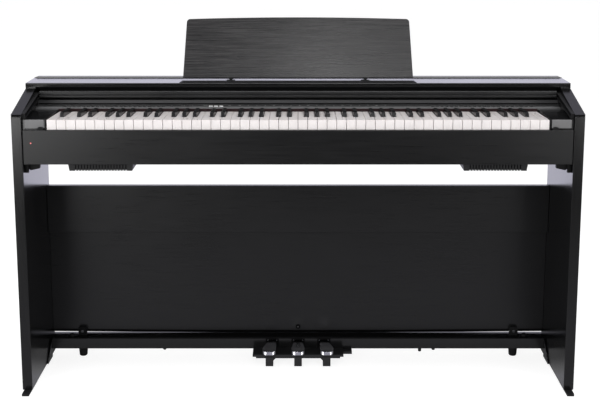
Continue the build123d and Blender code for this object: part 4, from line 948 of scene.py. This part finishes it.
def music_rest():
    on_lid = Matrix.Translation(place(0, 205, 773.5)) @ turned("X", REST_TILT)
    bm = bmesh.new()
    outline = [
        (-REST_FOOT_HALF, 0), (REST_FOOT_HALF, 0),
        (REST_TOP_HALF, REST_SHOULDER), (-REST_TOP_HALF, REST_SHOULDER),
    ]
    corners = [Vector((x * MM, 0.0, z * MM)) for x, z in outline]
    base, moved = add_prism(bm, corners, Vector((0.0, REST_THICKNESS * MM, 0.0)))
    rounded(bm, edges_between(base[2:], moved), 8.0, 6)
    rounded(bm, folded_edges(bm), 0.9)
    for x in range(-270, 271, 30):
        cut(bm, (x * MM, 0.0, 0.0), ALONG_WIDTH)
    for vert in bm.verts:
        if height_of(vert) > 100:
            vert.co.z += REST_CROWN * MM * (1.0 - (vert.co.x / MM / REST_TOP_HALF) ** 2)
    bmesh.ops.transform(bm, matrix=on_lid, verts=bm.verts)
    name = "music_rest_board"
    finish_piece(name, bm, grained_board, "music_rest", "black_board_finish", name)
    bm = bmesh.new()
    wedge = [(-7.5, 0.2), (-3.5, -3.3), (3.5, -3.3), (7.5, 0.2)]
    for x in PEG_PLACES:
        corners = [Vector(((x + a) * MM, 0.4 * MM, z * MM)) for a, z in wedge]
        add_prism(bm, corners, Vector((0.0, 8.2 * MM, 0.0)))
        pin = add_disc(bm, 2.6, 2.6, 12.0, 20)
        bmesh.ops.translate(bm, vec=(x * MM, 4.5 * MM, -9.0 * MM), verts=pin)
    bmesh.ops.transform(bm, matrix=on_lid, verts=bm.verts)
    finish_piece("music_rest_pegs", bm, rubber, "music_rest", "black_plastic", "music_rest_pegs")
    bm = bmesh.new()
    for x in PEG_PLACES:
        plate = add_block(bm, x - 11, x + 11, 204, 215, LID_TOP - 0.4, LID_TOP + 1.4)
        rounded(bm, edges_of([v for v in plate if height_of(v) > LID_TOP]), 0.8, 2)
    finish_piece("peg_sockets", bm, case_plastic, CASE, "black_plastic", "peg_sockets")
    bm = bmesh.new()
    plan = ((-303, 161), (303, 161), (299, 197), (-299, 197))
    corners = [place(x, depth, LID_TOP - 0.3) for x, depth in plan]
    moved = add_prism(bm, corners, Vector((0.0, 0.0, 1.7 * MM)))[1]
    rounded(bm, edges_within(moved), 0.6, 2)
    finish_piece("music_mat", bm, rubber, CASE, "black_rubber", "music_mat")


# Pedals
PEDAL_SPREAD = 76.5
PEDAL_ROOT = 70.0
PEDAL_BOTTOM = 44.0
PEDAL_THICKNESS = 7.0
TIP_HALF_WIDTH = 17.5
TIP_FRONT = 145.0
TIP_BEND = 172.0
NECK_HALF_WIDTH = 11.0
NECK_FRONT = 216.0
PEDAL_END = 251.0


def pedal(name, x, root):
    bm = bmesh.new()
    left = x - TIP_HALF_WIDTH
    right = x + TIP_HALF_WIDTH
    neck_left = root - NECK_HALF_WIDTH
    neck_right = root + NECK_HALF_WIDTH
    plan = [
        (left, TIP_FRONT), (right, TIP_FRONT), (right, TIP_BEND), (neck_right, NECK_FRONT),
        (neck_right, PEDAL_END), (neck_left, PEDAL_END), (neck_left, NECK_FRONT), (left, TIP_BEND),
    ]
    corners = [place(a, depth, PEDAL_BOTTOM) for a, depth in plan]
    base, moved = add_prism(bm, corners, Vector((0.0, 0.0, PEDAL_THICKNESS * MM)))
    rounded(bm, edges_between(base[:2], moved), 11.0, 10)
    for depth in (150, 155, 160, 165, 170, 178, 190, 204):
        cut(bm, place(0, depth, 0), ALONG_DEPTH)
    # The tip bends down, its underside more than its top.
    for vert in bm.verts:
        ahead = max(0.0, TIP_BEND - depth_of(vert)) / (TIP_BEND - TIP_FRONT)
        if height_of(vert) > PEDAL_BOTTOM + PEDAL_THICKNESS / 2:
            vert.co.z -= 3.0 * MM * ahead ** 2
            vert.co.y += 2.0 * MM * ahead ** 2
        else:
            vert.co.z -= 4.5 * MM * ahead ** 2
    rounded(bm, folded_edges(bm, 0.8), 1.6, 4)
    finish_piece(name, bm, chrome, name, "pedal_chrome", name, sharp=50.0)


def slot_frames():
    """Thin black frames around the slots that the pedals come through; their near-black is painted
    shade of the slot edges.
    """
    bm = bmesh.new()
    outline = [(-18, 33), (-18, 56.8), (18, 56.8), (18, 33)]
    outline += [(13.4, 33), (13.4, 54.2), (-13.4, 54.2), (-13.4, 33)]
    for x in (-PEDAL_ROOT, 0.0, PEDAL_ROOT):
        corners = [place(x + a, 219.8, z) for a, z in outline]
        base, moved = add_prism(bm, corners, Vector((0.0, 1.6 * MM, 0.0)))
        turns = [e for e in edges_between(base, moved) if height_of(e.verts[0]) > 50]
        rounded(bm, turns, 2.5, 4)
    finish_piece("pedal_slot_frames_painted_shade", bm, painted_shade_black, CASE, "black_plastic")


# Speaker grilles
GRILLE_START = 430.0
GRILLE_LENGTH = 134.0
GRILLE_GROOVES = 18


def grille_groove_painted_shade():
    """Near-black strips in the grooves of the speaker grilles: painted shade of the grooves."""
    bm = bmesh.new()
    for side in SIDES:
        for i in range(GRILLE_GROOVES):
            x = side * (GRILLE_START + (i + 0.5) * GRILLE_LENGTH / GRILLE_GROOVES)
            add_block(bm, x - 1.45, x + 1.45, 88.4, 89.7, 555.6, 589.4)
    finish_piece("grille_groove_painted_shade", bm, painted_shade_black, CASE, "black_plastic")


# Screws, caps, knobs and rod
SCREW_HEAD = 1.9
BACK_SCREWS = 7
BACK_SCREW_SPAN = 1261.0
BOARD_SCREW_HEIGHT = BOARD_FOOT + 16.5
BAR_BOTTOM = 28.2


def facing(x, depth, height, forward):
    """Turns an upright piece at the origin forwards or backwards and puts it in its place."""
    return Matrix.Translation(place(x, depth, height)) @ turned("X", 90.0 if forward else -90.0)


def add_screw(bm, x, depth, height, forward):
    """A pan head with a cross recess, facing backwards or forwards."""
    head = add_disc(bm, 4.0, 3.5, SCREW_HEAD, 24)
    bmesh.ops.translate(bm, vec=(0.0, 0.0, SCREW_HEAD / 2 * MM), verts=head)
    rounded(bm, rim(head, SCREW_HEAD), 0.7)
    made = [v for v in bm.verts if v.co.length < 6 * MM]
    for angle in (0.0, 90.0):
        bar = add_cuboid(bm, (4.2, 0.9, 0.3), (0, 0, 1.75))
        bmesh.ops.transform(bm, matrix=turned("Z", angle), verts=bar)
        made += bar
    bmesh.ops.transform(bm, matrix=facing(x, depth, height, forward), verts=made)


def fasteners():
    bm = bmesh.new()
    for i in range(BACK_SCREWS):
        x = BACK_SCREW_SPAN * (i / (BACK_SCREWS - 1) - 0.5)
        for height in (740.0, 588.0):
            add_screw(bm, x, 270, height, False)
    finish_piece("back_screws", bm, dark_steel, CASE, "screw_steel", "fasteners")
    bm = bmesh.new()
    for side in SIDES:
        add_screw(bm, side * 589, 244, 69.0, True)
    pin = add_disc(bm, 2.2, 1.8, 0.5, 20)
    bmesh.ops.transform(bm, matrix=facing(0, 253.9, BOARD_SCREW_HEIGHT, True), verts=pin)
    finish_piece("stand_screws", bm, dark_steel, CASE, "screw_steel", "fasteners")
    bm = bmesh.new()
    for side in SIDES:
        cap = add_round(bm, 8, 7, side * 617, 243, 57.4, 62.5, 28)
        rounded(bm, rim(cap, 62.5), 1.0)
        knob = add_round(bm, 4.8, 5.5, side * KNOB_X, KNOB_DEPTH, 569.5, 573.7, 24)
        rounded(bm, rim(knob, 569.5), 1.0)
    finish_piece("caps_and_knobs", bm, guide_plastic, CASE, "screw_steel", "fasteners")
    # A near-black cap on the lower board: its black is painted shade of the countersunk recess round
    # the screw.
    bm = bmesh.new()
    cap = add_disc(bm, 6.5, 5.6, 2.0, 36)
    bmesh.ops.translate(bm, vec=(0.0, 0.0, 1.0 * MM), verts=cap)
    rounded(bm, rim(cap, 2.0), 0.5)
    bmesh.ops.transform(bm, matrix=facing(0, BOARD_JOINT, BOARD_SCREW_HEIGHT, True), verts=bm.verts)
    finish_piece("board_cap_painted_shade", bm, painted_shade_black, CASE, "screw_steel", "fasteners")
    bm = bmesh.new()
    rod = add_disc(bm, 3, 3, 191, 32)
    lying = Matrix.Translation(place(0, 235, 47.5)) @ turned("Y", 90.0)
    bmesh.ops.transform(bm, matrix=lying, verts=rod)
    finish_piece("pedal_rod", bm, bright_steel, CASE, "screw_steel", "fasteners")
    bm = bmesh.new()
    for x, drop in ((-364, 8), (332, 13), (369, 9)):
        peg = add_round(bm, 4.2, 5, x, 236, BAR_BOTTOM - drop, BAR_BOTTOM, 20)
        rounded(bm, rim(peg, BAR_BOTTOM - drop), 1.2)
    finish_piece("bar_pegs", bm, case_plastic, CASE, "black_plastic")


# Studio
WHITE = (1.0, 1.0, 1.0)
COOL_WHITE = (0.86, 0.85, 1.0)


def studio_floor():
    """A pale floor; to gloss rays it shows a painted reflection, a glow dimmer in front than behind,
    with a painted shadow under the piano.
    """
    floor = Finish("studio_floor")
    mottle = floor.noise(2.0)
    tone = floor.two_tone(mottle, (0.90, 0.90, 0.90), (0.93, 0.93, 0.93))
    floor.wire(Base_Color=tone, Roughness=floor.span(mottle, 0.9, 1.0))
    path = floor.nodes.new("ShaderNodeLightPath").outputs
    glow = floor.nodes.new("ShaderNodeEmission")
    glow.inputs["Strength"].default_value = 1.42
    seen = floor.join(path["Is Camera Ray"], path["Is Glossy Ray"], "MAXIMUM")
    seen = floor.join(seen, path["Is Transmission Ray"], "MAXIMUM")
    seen = floor.join(seen, 0.6, "MULTIPLY")
    lit = floor.mix(seen, floor.shader.outputs["BSDF"], glow.outputs["Emission"])
    # Painted reflection: what gloss sees of the floor is a glow, dimmer in front than behind.
    back = floor.axes(floor.coords)["Y"]
    behind = floor.span(back, 0.0, 1.0, 0.4, 1.4)
    near = floor.span(back, 0.03, 0.46, -2.8, -0.7)
    # Painted shadow: that glow dips under and just behind the piano.
    near = floor.join(near, floor.span(back, 1.0, 0.3, -0.02, 0.1), "MULTIPLY")
    painted_reflection_level = floor.join(near, behind, "MAXIMUM")
    tint = floor.tones(painted_reflection_level, (0.0, (0.0, 0.0, 0.0)), (0.35, (0.35, 0.35, 0.36)), (1.0, COOL_WHITE))
    mirrored = floor.nodes.new("ShaderNodeEmission")
    floor.links.new(tint, mirrored.inputs["Color"])
    floor.links.new(floor.span(behind, 1.0, 1.6, 0.0, 1.0), mirrored.inputs["Strength"])
    surface = floor.mix(path["Is Glossy Ray"], lit, mirrored.outputs["Emission"])
    floor.links.new(surface, floor.nodes["Material Output"].inputs["Surface"])
    bm = bmesh.new()
    bmesh.ops.create_grid(bm, x_segments=1, y_segments=1, size=40.0)
    mesh = bpy.data.meshes.new("studio_floor")
    bm.to_mesh(mesh)
    bm.free()
    mesh.materials.append(floor.material)
    ground = bpy.data.objects.new("studio_floor", mesh)
    scene.collection.objects.link(ground)


def studio_walls():
    """White all around; gloss shows them bright behind and beside the piano, and dimmer in front."""
    world = bpy.data.worlds.new("studio")
    scene.world = world
    world.use_nodes = True
    walls = ShaderNodes(world.node_tree)
    path = walls.nodes.new("ShaderNodeLightPath").outputs
    soft = walls.nodes["Background"]
    soft.inputs["Color"].default_value = (*WHITE, 1.0)
    soft.inputs["Strength"].default_value = 0.40
    plain = walls.nodes.new("ShaderNodeBackground")
    plain.inputs["Color"].default_value = (*WHITE, 1.0)
    seen = walls.join(path["Is Camera Ray"], path["Is Transmission Ray"], "MAXIMUM")
    shown = walls.mix(seen, soft.outputs["Background"], plain.outputs["Background"])
    around = walls.axes(walls.nodes.new("ShaderNodeTexCoord").outputs["Generated"])
    level = walls.span(around["Y"], 0.45, 1.4, -0.5, 0.1)
    level = walls.join(level, walls.span(around["Z"], 1.0, 0.35, 0.2, 0.5), "MULTIPLY")
    mirrored = walls.nodes.new("ShaderNodeBackground")
    mirrored.inputs["Color"].default_value = (*COOL_WHITE, 1.0)
    walls.links.new(level, mirrored.inputs["Strength"])
    surface = walls.mix(path["Is Glossy Ray"], shown, mirrored.outputs["Background"])
    walls.links.new(surface, walls.nodes["World Output"].inputs["Surface"])


def softboxes():
    for name, spot, size, power in (
        ("softbox_left", (-2.0, -3.0, 0.9), (1.8, 1.8), 50.0),
        ("softbox_right", (2.15, -3.0, 0.95), (1.7, 1.7), 29.0),
        ("softbox_top", (0.0, -0.6, 3.0), (3.8, 0.7), 58.0),
        ("softbox_front", (0.25, -3.1, 2.2), (0.6, 0.6), 7.5),
    ):
        lamp = bpy.data.lights.new(name, "AREA")
        lamp.shape = "RECTANGLE"
        lamp.size, lamp.size_y = size
        lamp.energy = power
        holder = bpy.data.objects.new(name, lamp)
        holder.location = spot
        aim = Vector((0.0, 0.0, 0.5)) - Vector(spot)
        holder.rotation_euler = aim.to_track_quat("-Z", "Y").to_euler()
        scene.collection.objects.link(holder)


def photo_camera():
    lens = bpy.data.cameras.new("photo_camera")
    lens.sensor_width = 36.0
    lens.lens = 66.8
    lens.shift_x = 0.00325
    lens.shift_y = -0.16
    lens.clip_start = 0.05
    lens.clip_end = 100.0
    camera = bpy.data.objects.new("photo_camera", lens)
    camera.location = (0.0, FRONT_FACE_Y - 2.6526, 1.172)
    camera.rotation_euler = (math.radians(90.0 - 9.758), 0.0, 0.0)
    scene.collection.objects.link(camera)
    scene.camera = camera


side_panel("side_panel_left", -1)
side_panel("side_panel_right", 1)
stand_feet()
stand_brackets()
back_boards()
top_lid()
key_slip()
cheek_blocks()
keys()
key_cover()
panel_controls()
music_rest()
pedal("pedal_left", -PEDAL_SPREAD, -PEDAL_ROOT)
pedal("pedal_middle", 0.0, 0.0)
pedal("pedal_right", PEDAL_SPREAD, PEDAL_ROOT)
slot_frames()
grille_groove_painted_shade()
fasteners()

dress(bar_board, "bottom_bar")
dress(fibreboard, "keybed", "back_panel")
dress(case_plastic, "pedal_box", "jack_panel", "cover_rollers", "speaker_boxes")
dress(guide_plastic, "cover_guides")
dress(panel_plastic, "control_panel")
dress(chassis_plastic, "key_chassis")
dress(paper_cone, "speaker_drivers")
dress(felt, "key_felt")
dress(green_board, "circuit_boards")

studio_floor()
studio_walls()
softboxes()
photo_camera()
scene.view_settings.view_transform = "Standard"
